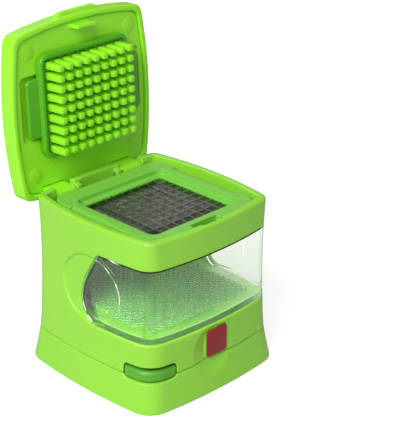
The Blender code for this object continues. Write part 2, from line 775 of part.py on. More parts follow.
def make_lid_cover(pivot):
    mesh = loft_mesh("lid_cover", [
        (lid_outline(), LID_LOW),
        (lid_outline(), LID_HIGH - LID_EDGE),
        (lid_outline(LID_EDGE * LID_EDGE_MIDDLE), LID_HIGH - LID_EDGE * LID_EDGE_MIDDLE),
        (lid_outline(LID_EDGE), LID_HIGH),
    ])
    cover = add_object("lid_cover", about_hinge(mesh), LID_PLASTIC, pivot)
    hollow = loft_mesh("cut_lid_hollow", [
        (lid_outline(LID_WALL), LID_LOW - MM),
        (lid_outline(LID_WALL), LID_HIGH - LID_TOP),
    ])
    lip = box_mesh(
        "add_finger_lip",
        (-LIP_WIDTH / 2, -LID_HALF - LIP_REACH, LID_LOW + MM),
        (LIP_WIDTH / 2, -LID_HALF + LID_WALL / 2, LID_LOW + MM + LIP_HEIGHT),
    )
    join(cover, lid_cutter(lip, pivot))
    cut(cover, lid_cutter(hollow, pivot))
    for n, (start, end) in enumerate(hinge_spans()):
        ear = box_mesh(
            f"add_ear_{n}",
            (start, HINGE_Y - EAR_RADIUS, HINGE_Z),
            (end, HINGE_Y + EAR_RADIUS, LID_LOW + PANEL_SET_IN),
        )
        knuckle = rod_mesh(f"add_knuckle_{n}", start, end, EAR_RADIUS, HINGE_Y, HINGE_Z)
        foot = box_mesh(
            f"add_ear_foot_{n}",
            (start, HINGE_Y - EAR_RADIUS, LID_LOW),
            (end, LID_HALF - LID_WALL / 2, LID_HIGH - LID_TOP / 2),
        )
        bore = rod_mesh(
            f"cut_ear_bore_{n}", start - MM, end + MM, HINGE_PIN_RADIUS + HINGE_PIN_CLEAR, HINGE_Y, HINGE_Z
        )
        join(cover, lid_cutter(foot, pivot), lid_cutter(ear, pivot), lid_cutter(knuckle, pivot))
        cut(cover, lid_cutter(bore, pivot))
    return cover


def taper_pin(bm, x, y):
    """A square pin that narrows a little towards its tip."""
    root = PANEL_LOW + PANEL_THICK / 2
    tip = PANEL_LOW - PIN_LENGTH
    bmesh.ops.create_cone(
        bm,
        cap_ends=True,
        segments=4,
        radius1=PIN_SIDE / sqrt(2) * PIN_TAPER,
        radius2=PIN_SIDE / sqrt(2),
        depth=root - tip,
        matrix=Matrix.Translation((x, y, (root + tip) / 2)) @ Matrix.Rotation(pi / 4, 4, "Z"),
    )


def make_pin_plate(pivot):
    inset = LID_WALL + PANEL_CLEAR
    mesh = prism_mesh("pin_plate", lid_outline(inset), PANEL_LOW, PANEL_LOW + PANEL_THICK)
    plate = add_object("pin_plate", about_hinge(mesh), LID_PLASTIC, pivot)
    bm = bmesh.new()
    for x, y in GRID_CENTRES:
        taper_pin(bm, x, y)
    join(plate, lid_cutter(mesh_of(bm, "add_pins"), pivot))
    hook = box_mesh(
        "add_hook",
        (-HOOK_WIDTH / 2, HOOK_FRONT_Y, PANEL_LOW - HOOK_DROP),
        (HOOK_WIDTH / 2, HOOK_FRONT_Y + HOOK_THICK, PANEL_LOW + PANEL_THICK / 2),
    )
    join(plate, lid_cutter(hook, pivot))
    for side in (-1, 1):
        reach = COMB_WIDTH / 2 + COMB_TAB_REACH + COMB_TAB_RECESS_END
        ends = sorted((side * reach, side * (COMB_WIDTH / 2 - COMB_RING)))
        half = COMB_TAB_LENGTH / 2 + COMB_TAB_RECESS_CLEAR
        cut(plate, lid_cutter(box_mesh(
            f"cut_tab_recess_{side}",
            (ends[0], COMB_Y - half, PANEL_LOW - MM),
            (ends[1], COMB_Y + half, PANEL_LOW + COMB_TAB_RECESS_DEPTH),
        ), pivot))
    for n, (start, end) in enumerate(hinge_spans()):
        cut(plate, lid_cutter(box_mesh(
            f"cut_panel_ear_{n}",
            (start - PANEL_CLEAR, HINGE_Y - EAR_RADIUS - PANEL_CLEAR, PANEL_LOW - MM),
            (end + PANEL_CLEAR, LID_HALF, PANEL_LOW + PANEL_THICK + MM),
        ), pivot))
    return plate


def make_comb(pivot):
    top = PANEL_LOW - GAP
    low = top - COMB_PLATE
    outline = round_square(COMB_WIDTH, COMB_LENGTH, COMB_CORNER, (0, COMB_Y))
    mesh = prism_mesh("cleaning_comb", outline, low - COMB_RING_RISE, top)
    comb = add_object("cleaning_comb", about_hinge(mesh), COMB_PLASTIC, pivot)
    tray = prism_mesh(
        "cut_comb_tray",
        round_square(
            COMB_WIDTH - 2 * COMB_RING, COMB_LENGTH - 2 * COMB_RING, COMB_CORNER - COMB_RING, (0, COMB_Y)
        ),
        low - OVERCUT,
        low,
    )
    bm = bmesh.new()
    hole = PIN_SIDE / 2 + COMB_PIN_CLEAR
    for x, y in GRID_CENTRES:
        made = bmesh.ops.create_cube(bm, size=2 * hole)["verts"]
        bmesh.ops.translate(bm, vec=(x, y, low + COMB_PLATE / 2), verts=made)
    reach = COMB_WIDTH / 2 + COMB_TAB_REACH
    tabs = box_mesh(
        "add_comb_tabs",
        (-reach, COMB_Y - COMB_TAB_LENGTH / 2, low),
        (reach, COMB_Y + COMB_TAB_LENGTH / 2, top),
    )
    join(comb, lid_cutter(tabs, pivot))
    cut(comb, lid_cutter(tray, pivot), lid_cutter(mesh_of(bm, "cut_comb_holes"), pivot))
    return comb


make_base()
make_tab()
make_housing()
make_badge()
make_hinge_pins()
make_drawer()
tip = tip_pivot()
make_lower_frame(tip)
make_upper_frame(tip)
make_blades(tip)
lid = lid_pivot()
make_lid_cover(lid)
make_pin_plate(lid)
make_comb(lid)
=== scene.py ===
"""A square hand-held vegetable dicer in green plastic.

Its lid stands open over the blade cartridge and the clear drawer. Metres, +Z up, in the frame's own place.
The front, where the drawer pulls out, is -Y, and the lid hinges at +Y.
"""

import json
from math import atan2, cos, pi, radians, sin, sqrt

import bmesh
import bpy
import numpy as np
from mathutils import Matrix, Vector


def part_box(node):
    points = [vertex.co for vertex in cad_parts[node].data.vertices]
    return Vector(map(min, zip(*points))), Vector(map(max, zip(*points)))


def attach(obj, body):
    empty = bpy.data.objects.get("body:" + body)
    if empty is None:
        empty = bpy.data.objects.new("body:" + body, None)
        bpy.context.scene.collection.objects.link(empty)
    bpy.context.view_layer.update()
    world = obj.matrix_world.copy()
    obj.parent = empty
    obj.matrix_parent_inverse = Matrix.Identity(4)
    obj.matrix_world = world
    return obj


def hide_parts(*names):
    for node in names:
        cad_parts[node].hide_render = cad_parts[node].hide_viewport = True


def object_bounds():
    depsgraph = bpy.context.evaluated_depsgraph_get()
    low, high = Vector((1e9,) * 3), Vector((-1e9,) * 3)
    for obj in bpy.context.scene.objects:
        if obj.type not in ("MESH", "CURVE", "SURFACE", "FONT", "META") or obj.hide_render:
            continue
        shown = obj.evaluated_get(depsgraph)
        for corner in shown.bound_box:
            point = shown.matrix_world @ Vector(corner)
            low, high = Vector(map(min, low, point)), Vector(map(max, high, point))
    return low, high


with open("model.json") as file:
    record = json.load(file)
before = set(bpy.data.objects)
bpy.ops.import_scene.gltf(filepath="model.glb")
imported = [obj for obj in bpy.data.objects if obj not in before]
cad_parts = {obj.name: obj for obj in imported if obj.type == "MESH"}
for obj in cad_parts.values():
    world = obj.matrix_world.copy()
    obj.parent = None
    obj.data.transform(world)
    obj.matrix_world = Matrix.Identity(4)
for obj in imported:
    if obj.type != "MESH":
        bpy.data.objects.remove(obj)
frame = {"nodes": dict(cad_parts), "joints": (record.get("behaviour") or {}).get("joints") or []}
cad_box = [list(corner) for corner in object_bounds()]
joints = {joint["name"]: joint for joint in frame["joints"]}
MM = 0.001


# ---------------------------------------------------------------------------------------------------------
# Camera and studio. A long lens looks down on the front left corner, in a white sweep under one large soft
# light from the left, so that the left side glows and the front falls into its own shade.

VIEW_TARGET = Vector((0, 0, 45 * MM))
VIEW_AZIMUTH = radians(-43.98)
VIEW_ELEVATION = radians(26.29)
VIEW_DISTANCE = 615.9 * MM


def aim(thing, place, target):
    """Puts a camera or a light at a place, facing a target."""
    thing.location = place
    thing.rotation_euler = (target - place).to_track_quat("-Z", "Y").to_euler()
    bpy.context.scene.collection.objects.link(thing)


def set_camera():
    lens = bpy.data.cameras.new("camera")
    lens.sensor_width = 36.0
    lens.lens = 127.3
    lens.shift_x = 0.1223
    lens.shift_y = 0.1162
    lens.clip_start = 0.05
    camera = bpy.data.objects.new("camera", lens)
    towards = Vector((
        sin(VIEW_AZIMUTH) * cos(VIEW_ELEVATION),
        -cos(VIEW_AZIMUTH) * cos(VIEW_ELEVATION),
        sin(VIEW_ELEVATION),
    ))
    aim(camera, VIEW_TARGET + towards * VIEW_DISTANCE, VIEW_TARGET)
    bpy.context.scene.camera = camera


def looked_at(tree):
    """One for what the camera sees, straight or through clear plastic, and nothing for what only lights."""
    path = tree.nodes.new("ShaderNodeLightPath")
    either = tree.nodes.new("ShaderNodeMath")
    either.operation = "MAXIMUM"
    tree.links.new(path.outputs["Is Camera Ray"], either.inputs[0])
    tree.links.new(path.outputs["Is Transmission Ray"], either.inputs[1])
    return either.outputs["Value"]


def set_sky():
    """A white surround that is brighter to look at than it is as a light."""
    sky = bpy.data.worlds.new("white_studio")
    sky.use_nodes = True
    nodes, links = sky.node_tree.nodes, sky.node_tree.links
    seen = nodes["Background"]
    seen.inputs["Color"].default_value = (1, 1, 1, 1)
    seen.inputs["Strength"].default_value = 1.0
    light = nodes.new("ShaderNodeBackground")
    light.inputs["Color"].default_value = (1.0, 1.0, 1.0, 1)
    light.inputs["Strength"].default_value = 0.3
    mix = nodes.new("ShaderNodeMixShader")
    links.new(looked_at(sky.node_tree), mix.inputs["Fac"])
    links.new(light.outputs["Background"], mix.inputs[1])
    links.new(seen.outputs["Background"], mix.inputs[2])
    links.new(mix.outputs["Shader"], nodes["World Output"].inputs["Surface"])
    bpy.context.scene.world = sky


def set_light(name, place, size, watts):
    lamp = bpy.data.lights.new(name, "AREA")
    lamp.size = size
    lamp.energy = watts
    aim(bpy.data.objects.new(name, lamp), Vector(place), VIEW_TARGET)


def set_floor():
    bm = bmesh.new()
    bmesh.ops.create_grid(bm, x_segments=1, y_segments=1, size=4.0)
    mesh = bpy.data.meshes.new("studio_floor")
    bm.to_mesh(mesh)
    bm.free()
    floor = bpy.data.objects.new("studio_floor", mesh)
    floor.location.z = cad_box[0][2] - 0.1 * MM
    bpy.context.scene.collection.objects.link(floor)
    paint = bpy.data.materials.new("white_sweep")
    paint.use_nodes = True
    shader = paint.node_tree.nodes["Principled BSDF"]
    shader.inputs["Base Color"].default_value = (0.6, 0.6, 0.6, 1)
    shader.inputs["Roughness"].default_value = 0.9
    shader.inputs["Specular IOR Level"].default_value = 0.1
    shader.inputs["Emission Color"].default_value = (0.66, 0.66, 0.66, 1)
    paint.node_tree.links.new(looked_at(paint.node_tree), shader.inputs["Emission Strength"])
    mesh.materials.append(paint)


set_camera()
set_sky()
set_light("key_light", (-1.1, -0.35, 1.05), 0.9, 24.5)
set_light("fill_light", (0.1, -1.4, 0.45), 1.0, 1.2)
set_light("rim_light", (0.5, 0.9, 1.0), 0.6, 2.0)
set_floor()
bpy.context.scene.view_settings.view_transform = "Standard"
bpy.context.scene.cycles.max_bounces = 24
bpy.context.scene.cycles.transmission_bounces = 24


# ---------------------------------------------------------------------------------------------------------
# Moulded plastic. All the green pieces are injection moulded ABS with a fine satin grain. The colour drifts
# a little with the flow of the plastic, and handling has left faint soft scuffs that catch the light.


def new_tree(kind, name, inputs, outputs):
    """A node group with named sockets, each given as (name, type, value)."""
    tree = bpy.data.node_groups.new(name, kind)
    for label, socket, value in inputs:
        made = tree.interface.new_socket(name=label, in_out="INPUT", socket_type=socket)
        if value is not None:
            made.default_value = value
    for label, socket in outputs:
        tree.interface.new_socket(name=label, in_out="OUTPUT", socket_type=socket)
    return tree, tree.nodes.new("NodeGroupInput"), tree.nodes.new("NodeGroupOutput")


def noise(tree, place, scale, detail=3.0, rough=0.5):
    made = tree.nodes.new("ShaderNodeTexNoise")
    made.inputs["Detail"].default_value = detail
    made.inputs["Roughness"].default_value = rough
    tree.links.new(place, made.inputs["Vector"])
    if hasattr(scale, "default_value"):
        tree.links.new(scale, made.inputs["Scale"])
    else:
        made.inputs["Scale"].default_value = scale
    return made.outputs["Fac"]


def ramp(tree, value, low, high, to_low=0.0, to_high=1.0):
    made = tree.nodes.new("ShaderNodeMapRange")
    tree.links.new(value, made.inputs["Value"])
    for label, number in (("From Min", low), ("From Max", high), ("To Min", to_low), ("To Max", to_high)):
        if hasattr(number, "default_value"):
            tree.links.new(number, made.inputs[label])
        else:
            made.inputs[label].default_value = number
    return made.outputs["Result"]


def maths(tree, operation, a, b):
    made = tree.nodes.new("ShaderNodeMath")
    made.operation = operation
    for socket, value in zip(made.inputs, (a, b)):
        if hasattr(value, "default_value"):
            tree.links.new(value, socket)
        else:
            socket.default_value = value
    return made.outputs["Value"]


def moulded_skin():
    """Colour, roughness and height of a satin moulding."""
    tree, given, out = new_tree(
        "ShaderNodeTree",
        "moulded_skin",
        [
            ("Colour", "NodeSocketColor", (0.5, 0.5, 0.5, 1)),
            ("Deep Colour", "NodeSocketColor", (0.3, 0.3, 0.3, 1)),
            ("Drift", "NodeSocketFloat", 0.35),
            ("Roughness", "NodeSocketFloat", 0.35),
            ("Scuff", "NodeSocketFloat", 0.12),
            ("Grain Scale", "NodeSocketFloat", 2600.0),
        ],
        [("Colour", "NodeSocketColor"), ("Roughness", "NodeSocketFloat"), ("Height", "NodeSocketFloat")],
    )
    place = tree.nodes.new("ShaderNodeTexCoord").outputs["Object"]
    flow = ramp(tree, noise(tree, place, 22.0, 2.0), 0.35, 0.7)
    speckle = ramp(tree, noise(tree, place, 900.0, 1.0), 0.4, 0.75, 0.0, 0.35)
    share = maths(tree, "MULTIPLY", maths(tree, "ADD", flow, speckle), given.outputs["Drift"])
    mix = tree.nodes.new("ShaderNodeMix")
    mix.data_type = "RGBA"
    tree.links.new(share, mix.inputs["Factor"])
    tree.links.new(given.outputs["Colour"], mix.inputs["A"])
    tree.links.new(given.outputs["Deep Colour"], mix.inputs["B"])
    tree.links.new(mix.outputs["Result"], out.inputs["Colour"])
    stretch = tree.nodes.new("ShaderNodeMapping")
    stretch.inputs["Scale"].default_value = (1.0, 1.0, 0.25)
    stretch.inputs["Rotation"].default_value = (0.3, 0.5, 0.2)
    tree.links.new(place, stretch.inputs["Vector"])
    scratch = ramp(tree, noise(tree, stretch.outputs["Vector"], 240.0, 4.0, 0.7), 0.56, 0.72)
    cloud = ramp(tree, noise(tree, place, 60.0, 3.0), 0.4, 0.65)
    wear = maths(tree, "MULTIPLY", maths(tree, "MULTIPLY", scratch, cloud), given.outputs["Scuff"])
    base = maths(tree, "ADD", given.outputs["Roughness"], wear)
    cloudy = maths(tree, "MULTIPLY", cloud, 0.06)
    tree.links.new(maths(tree, "ADD", base, cloudy), out.inputs["Roughness"])
    grain = noise(tree, place, given.outputs["Grain Scale"], 2.0)
    ripple = maths(tree, "MULTIPLY", noise(tree, place, 130.0, 1.0), 1.5)
    tree.links.new(maths(tree, "ADD", grain, ripple), out.inputs["Height"])
    return tree


SKIN = moulded_skin()


def plastic(name, colour, deep, drift=0.35, roughness=0.3, grain=0.02, coat=0.0, scatter=0.0, scuff=0.12):
    """A moulded plastic in one colour; grain is the bump's strength and scatter how milky it is."""
    made = bpy.data.materials.new(name)
    made.use_nodes = True
    nodes, links = made.node_tree.nodes, made.node_tree.links
    shader = nodes["Principled BSDF"]
    shader.inputs["Coat Weight"].default_value = coat
    shader.inputs["Coat Roughness"].default_value = 0.12
    shader.inputs["Subsurface Weight"].default_value = scatter
    shader.inputs["Subsurface Radius"].default_value = (0.6, 1.0, 0.3)
    shader.inputs["Subsurface Scale"].default_value = 2.0 * MM
    skin = nodes.new("ShaderNodeGroup")
    skin.node_tree = SKIN
    skin.inputs["Colour"].default_value = (*colour, 1)
    skin.inputs["Deep Colour"].default_value = (*deep, 1)
    skin.inputs["Drift"].default_value = drift
    skin.inputs["Roughness"].default_value = roughness
    skin.inputs["Scuff"].default_value = scuff
    bump = nodes.new("ShaderNodeBump")
    bump.inputs["Strength"].default_value = grain
    bump.inputs["Distance"].default_value = 0.5 * MM
    links.new(skin.outputs["Colour"], shader.inputs["Base Color"])
    links.new(skin.outputs["Roughness"], shader.inputs["Roughness"])
    links.new(skin.outputs["Height"], bump.inputs["Height"])
    links.new(bump.outputs["Normal"], shader.inputs["Normal"])
    return made


# ---------------------------------------------------------------------------------------------------------
# Base tray. A shallow green tub with flaring walls that the body plugs into. It is moulded in one piece: a
# flat floor, a spigot that enters the body, and two cheeks and a shelf that guide the corner release tab.

SEAM_Z = 14.7 * MM
DECK_TOP_Z = 29.8 * MM
WAIST_Z = 46.0 * MM
BAND_Z = 61.8 * MM
RIM_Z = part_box("housing")[1].z
HEIGHTS = (0.0, SEAM_Z, DECK_TOP_Z, WAIST_Z, BAND_Z, RIM_Z)
HALVES = (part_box("base_tray")[1].x, 38.0 * MM, 37.4 * MM, 37.0 * MM, 36.9 * MM, 36.7 * MM)
CORNER_HEIGHTS = (0.0, WAIST_Z, BAND_Z, RIM_Z)
CORNERS = (10.0 * MM, 10.0 * MM, 8.5 * MM, 4.7 * MM)
FOOT_BOW = 3.2 * MM
RIM_BOW = 4.1 * MM
GAP = 0.3 * MM
BODY_WALL = 2.4 * MM
BASE_FLOOR = 2.2 * MM
SPIGOT_INSET = 2.75 * MM
SPIGOT_WALL = 1.8 * MM
SPIGOT_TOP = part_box("base_tray")[1].z
OVERCUT = 5.0 * MM
REACH = 45.0 * MM


def bowed_square(half, bow, corner, side_steps=18, corner_steps=10):
    """Points round a square with bowed sides and round corners; half is at a side's middle."""
    big = (half * half + bow * bow) / (2 * bow)
    b = -2 * (half - big)
    c = (half - big) ** 2 - (big - corner) ** 2
    k = (-b + sqrt(b * b - 8 * c)) / 4
    turn = atan2(k, k - (half - big))
    quarter = []
    for i in range(side_steps):
        angle = -turn + 2 * turn * i / side_steps
        quarter.append((half - big + big * cos(angle), big * sin(angle)))
    for i in range(corner_steps):
        angle = turn + (pi / 2 - 2 * turn) * i / corner_steps
        quarter.append((k + corner * cos(angle), k + corner * sin(angle)))
    turned = []
    for n in range(4):
        turned += [((x, y), (-y, x), (-x, -y), (y, -x))[n] for x, y in quarter]
    return turned


def eased(z, at, values):
    """A smooth curve through values at given heights."""
    slopes = np.gradient(np.array(values), np.array(at))
    n = int(np.clip(np.searchsorted(at, z) - 1, 0, len(at) - 2))
    step = at[n + 1] - at[n]
    t = (z - at[n]) / step
    return float(
        (2 * t**3 - 3 * t**2 + 1) * values[n]
        + (t**3 - 2 * t**2 + t) * step * slopes[n]
        + (-2 * t**3 + 3 * t**2) * values[n + 1]
        + (t**3 - t**2) * step * slopes[n + 1]
    )


def body_outline(z, inset=0.0, corner=None):
    """The body's outline at a height, drawn in by an inset, with its own corners or the given ones."""
    half = eased(z, HEIGHTS, HALVES)
    bow = float(np.interp(z, (0.0, RIM_Z), (FOOT_BOW, RIM_BOW)))
    if corner is None:
        corner = max(eased(z, CORNER_HEIGHTS, CORNERS) - inset, 0.8 * MM)
    return bowed_square(half - inset, bow, corner)


def solid(name, mesh):
    """A new object from a mesh, or from a bmesh with its normals turned outwards."""
    if isinstance(mesh, bmesh.types.BMesh):
        bmesh.ops.recalc_face_normals(mesh, faces=mesh.faces)
        data = bpy.data.meshes.new(name)
        mesh.to_mesh(data)
        mesh.free()
    else:
        data = mesh
    made = bpy.data.objects.new(name, data)
    bpy.context.scene.collection.objects.link(made)
    return made


def loft(name, sections):
    """A closed solid through (outline, height) sections."""
    bm = bmesh.new()
    rings = [[bm.verts.new((x, y, z)) for x, y in outline] for outline, z in sections]
    for low, high in zip(rings, rings[1:]):
        for i in range(len(low)):
            j = (i + 1) % len(low)
            bm.faces.new((low[i], low[j], high[j], high[i]))
    bm.faces.new(rings[0][::-1])
    bm.faces.new(rings[-1])
    return solid(name, bm)


def rounded(outline_at, low, high, bottom=0.0, top=0.0, steps=4, levels=1):
    """Sections of a solid between two heights, whose bottom and top edges are rounded.

    The outline is asked for at a height and drawn in by a distance.
    """
    sections = []
    for i in range(steps if bottom else 0):
        angle = pi / 2 * i / steps
        sections.append((outline_at(low, bottom * (1 - sin(angle))), low + bottom * (1 - cos(angle))))
    start, end = low + bottom, high - top
    for i in range(levels + 1):
        z = start + (end - start) * i / levels
        sections.append((outline_at(z, 0.0), z))
    for i in range(1, steps + 1 if top else 0):
        angle = pi / 2 * i / steps
        sections.append((outline_at(high, top * (1 - cos(angle))), end + top * sin(angle)))
    return sections


def body_block(name, low, high, inset=0.0, bottom=0.0, top=0.0, corner=None):
    levels = max(1, round((high - low) / (3 * MM)))
    return loft(name, rounded(
        lambda z, more: body_outline(z, inset + more, corner), low, high, bottom, top, 4, levels
    ))


def prism(name, outline, low, high, axis="Z"):
    """An outline extruded along Z, or along X with its points read as (y, z)."""
    bm = bmesh.new()
    if axis == "Z":
        face = bm.faces.new([bm.verts.new((x, y, low)) for x, y in outline])
        along = (0, 0, high - low)
    else:
        face = bm.faces.new([bm.verts.new((low, y, z)) for y, z in outline])
        along = (high - low, 0, 0)
    grown = bmesh.ops.extrude_face_region(bm, geom=[face])["geom"]
    bmesh.ops.translate(bm, verts=[v for v in grown if isinstance(v, bmesh.types.BMVert)], vec=along)
    return solid(name, bm)


def block(name, low, high, turn=0.0):
    bm = bmesh.new()
    bmesh.ops.create_cube(bm, size=1.0)
    bmesh.ops.scale(bm, vec=[b - a for a, b in zip(low, high)], verts=bm.verts)
    bmesh.ops.translate(bm, vec=[(a + b) / 2 for a, b in zip(low, high)], verts=bm.verts)
    bmesh.ops.rotate(bm, matrix=Matrix.Rotation(turn, 3, "Z"), verts=bm.verts)
    return solid(name, bm)


def rod(name, low_x, high_x, radius, y, z, sides=40):
    bm = bmesh.new()
    turn = Matrix.Translation(((low_x + high_x) / 2, y, z)) @ Matrix.Rotation(pi / 2, 4, "Y")
    bmesh.ops.create_cone(
        bm, cap_ends=True, segments=sides, radius1=radius, radius2=radius, depth=high_x - low_x, matrix=turn
    )
    return solid(name, bm)


def plain(item):
    """Turns an object with modifiers into a plain mesh."""
    bpy.context.view_layer.update()
    graph = bpy.context.evaluated_depsgraph_get()
    mesh = bpy.data.meshes.new_from_object(item.evaluated_get(graph))
    item.modifiers.clear()
    item.data = mesh
    return item


def bevel(item, width, segments, over=None):
    """Breaks a solid's edges; over is the angle in degrees from which an edge counts as one."""
    edge = item.modifiers.new("edge", "BEVEL")
    edge.width = width
    edge.segments = segments
    edge.limit_method = "ANGLE"
    if over:
        edge.angle_limit = radians(over)
    return plain(item)


def shade(item, sharp):
    """Smooth shading, except across edges sharper than an angle in degrees."""
    item.data.shade_smooth()
    item.data.set_sharp_from_angle(angle=radians(sharp))
    return item


def combine(target, operation, *tools):
    """Joins, cuts or crosses a solid with others, which are used up."""
    for tool in tools:
        step = target.modifiers.new(tool.name, "BOOLEAN")
        step.operation = operation
        step.object = tool
        step.solver = "EXACT"
    plain(target)
    for tool in tools:
        bpy.data.objects.remove(tool)
    return target


def cut(target, *tools):
    return combine(target, "DIFFERENCE", *tools)


def join(target, *tools):
    return combine(target, "UNION", *tools)


def mould(item, voxel, rounds=4, keep=0.5):
    """Gives a cut solid the small soft edges of a moulding: fine even faces, smoothed, then thinned."""
    remesh = item.modifiers.new("even", "REMESH")
    remesh.mode = "VOXEL"
    remesh.voxel_size = voxel
    smooth = item.modifiers.new("soften", "SMOOTH")
    smooth.factor = 0.5
    smooth.iterations = rounds
    thin = item.modifiers.new("thin", "DECIMATE")
    thin.ratio = keep
    plain(item)
    item.data.shade_smooth()
    return item


def place_piece(item, paint, body, slot, *nodes):
    """Gives a finished piece its one material, the body it moves with and the solids it stands for."""
    item.data.materials.clear()
    item.data.materials.append(paint)
    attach(item, body)
    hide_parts(*nodes)
    return item


TAB_BOTTOM_Z, TAB_TOP_Z = (corner.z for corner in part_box("release_tab"))
TAB_SLOT = 1.6 * MM
TAB_THICK = 2.2 * MM
TAB_SET_IN = 0.2 * MM
TAB_HALF_WIDTH = 10.2 * MM
TAB_DEPTH = 14.0 * MM
TAB_EDGE = 1.7 * MM
STEM_WIDTH = 5.0 * MM
STEM_HEIGHT = 3.0 * MM
STEM_LENGTH = 11.0 * MM
CHEEK = 1.6 * MM
CHEEK_LENGTH = 6.0 * MM
TAB_CORNER = -max(np.hypot(x, y) for x, y in body_outline(SEAM_Z))
STEM_START = TAB_CORNER + TAB_SET_IN + TAB_THICK / 2
STEM_LOW = (TAB_BOTTOM_Z + TAB_TOP_Z - STEM_HEIGHT) / 2


def tab_bar(name, low, high, clear=0.0):
    """The corner that the tab fills, with ends along the diagonal that it slides on and soft edges."""
    half = TAB_HALF_WIDTH + clear
    bar = block(name, (TAB_CORNER - OVERCUT, -half, low), (TAB_CORNER + TAB_DEPTH, half, high), pi / 4)
    return bevel(bar, TAB_EDGE + clear, 5)


def thumb_dish():
    """The shallow oval dent that crosses the seam at the front."""
    high, wide, deep = 10.6 * MM, 12.0 * MM, 2.0 * MM
    at_x, at_z = -2.6 * MM, 20.8 * MM
    ball = (high**2 + deep**2) / (2 * deep)
    front = float(np.interp(at_z, HEIGHTS[:3], HALVES[:3]))
    bm = bmesh.new()
    bmesh.ops.create_uvsphere(bm, u_segments=128, v_segments=96, radius=ball)
    bmesh.ops.scale(bm, vec=(wide / high, 1, 1), verts=bm.verts)
    bmesh.ops.translate(bm, vec=(at_x, deep - ball - front, at_z), verts=bm.verts)
    return solid("thumb_dish", bm)


def make_base_tray():
    tray = body_block("base_tray_shell", 0.0, SEAM_Z, bottom=0.9 * MM, top=0.25 * MM)
    spigot = body_block("spigot", SEAM_Z - BASE_FLOOR, SPIGOT_TOP, SPIGOT_INSET, top=0.4 * MM)
    hollow = body_block("hollow", BASE_FLOOR, SEAM_Z + OVERCUT, SPIGOT_INSET + SPIGOT_WALL, bottom=0.8 * MM)
    notch = tab_bar("tab_notch", TAB_BOTTOM_Z - GAP, SEAM_Z + OVERCUT, GAP)
    join(tray, spigot)
    cut(tray, hollow, notch, thumb_dish())
    start = STEM_START + STEM_LENGTH - CHEEK_LENGTH
    offset = (STEM_WIDTH + CHEEK) / 2 + GAP
    guides = [
        block(
            "cheek",
            (start, side * offset - CHEEK / 2, BASE_FLOOR / 2),
            (start + CHEEK_LENGTH, side * offset + CHEEK / 2, STEM_LOW + STEM_HEIGHT),
            pi / 4,
        )
        for side in (-1, 1)
    ]
    guides.append(block(
        "shelf",
        (start, -offset, BASE_FLOOR / 2),
        (start + CHEEK_LENGTH, offset, STEM_LOW - GAP),
        pi / 4,
    ))
    join(tray, *guides)
    return mould(tray, 0.5 * MM, rounds=2, keep=0.4)


BODY_GREEN = plastic("body_green", (0.300, 0.700, 0.048), (0.255, 0.620, 0.038), scatter=0.15)
place_piece(make_base_tray(), BODY_GREEN, "base", "body_green", "base_tray")


# ---------------------------------------------------------------------------------------------------------
# Release tab. A darker green button that wraps the front left corner over the seam. Its stem slides in the
# base tray's guides, and a press towards the middle frees the body from the tray.


def make_release_tab():
    tab = body_block("release_button", TAB_BOTTOM_Z, TAB_TOP_Z, TAB_SET_IN, bottom=1.4 * MM, top=1.5 * MM)
    cut(tab, body_block("inside", 0.0, SEAM_Z + 2 * OVERCUT, TAB_SET_IN + TAB_THICK))
    combine(tab, "INTERSECT", tab_bar("corner", TAB_BOTTOM_Z, TAB_TOP_Z + OVERCUT))
    stem = block(
        "stem",
        (STEM_START, -STEM_WIDTH / 2, STEM_LOW),
        (STEM_START + STEM_LENGTH, STEM_WIDTH / 2, STEM_LOW + STEM_HEIGHT),
        pi / 4,
    )
    join(tab, stem)
    return mould(tab, 0.2 * MM, rounds=4, keep=0.5)


TAB_GREEN = plastic("tab_green", (0.095, 0.390, 0.020), (0.070, 0.320, 0.014), roughness=0.4)
place_piece(make_release_tab(), TAB_GREEN, "release_tab", "tab_green", "release_tab")


# ---------------------------------------------------------------------------------------------------------
# Body housing. One green moulding in the shape of a C: a rim that holds the blade cartridge, a back wall
# with the hinge notches, and a lower box with a deck for the drawer. Oval finger dimples are pressed into
# both sides, so that a thumb and a finger can pull the drawer.

DECK_THICK = 2.2 * MM
RIM_WALL = 3.0 * MM
SEAT_DROP = 8.2 * MM
SEAT_Z = RIM_Z - SEAT_DROP
SEAT_OPENING = 50.0 * MM
SEAT_CORNER = 4.0 * MM
CARTRIDGE_Y = (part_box("upper_frame")[0].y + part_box("upper_frame")[1].y) / 2
DRAWER_GAP = 0.3 * MM
MOUTH_TOP_Y = -7.0 * MM
MOUTH_BULGE = (12.0 * MM, 38.0 * MM)
MOUTH_BOTTOM_Y = -3.2 * MM
HINGE = Vector(joints["lid_hinge"]["pos_m"])
EAR_SPANS = ((-24.0 * MM, -13.0 * MM), (13.0 * MM, 24.0 * MM))
EAR_RADIUS = 2.6 * MM
BOSS_LENGTH = 3.0 * MM
HINGE_PIN_RADIUS = (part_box("hinge_pin_left")[1].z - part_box("hinge_pin_left")[0].z) / 2
BORE_CLEAR = 0.1 * MM
BORE_RADIUS = HINGE_PIN_RADIUS + BORE_CLEAR
HOOK_WIDTH = 10.0 * MM
HOOK_FRONT_Y = -34.1 * MM
HOOK_CLEAR = 0.4 * MM


def round_square(width, depth, corner, centre=(0.0, 0.0), steps=8):
    points = []
    for n, (sx, sy) in enumerate(((1, 1), (-1, 1), (-1, -1), (1, -1))):
        x = centre[0] + sx * (width / 2 - corner)
        y = centre[1] + sy * (depth / 2 - corner)
        for i in range(steps + 1):
            angle = pi / 2 * (n + i / steps)
            points.append((x + corner * cos(angle), y + corner * sin(angle)))
    return points


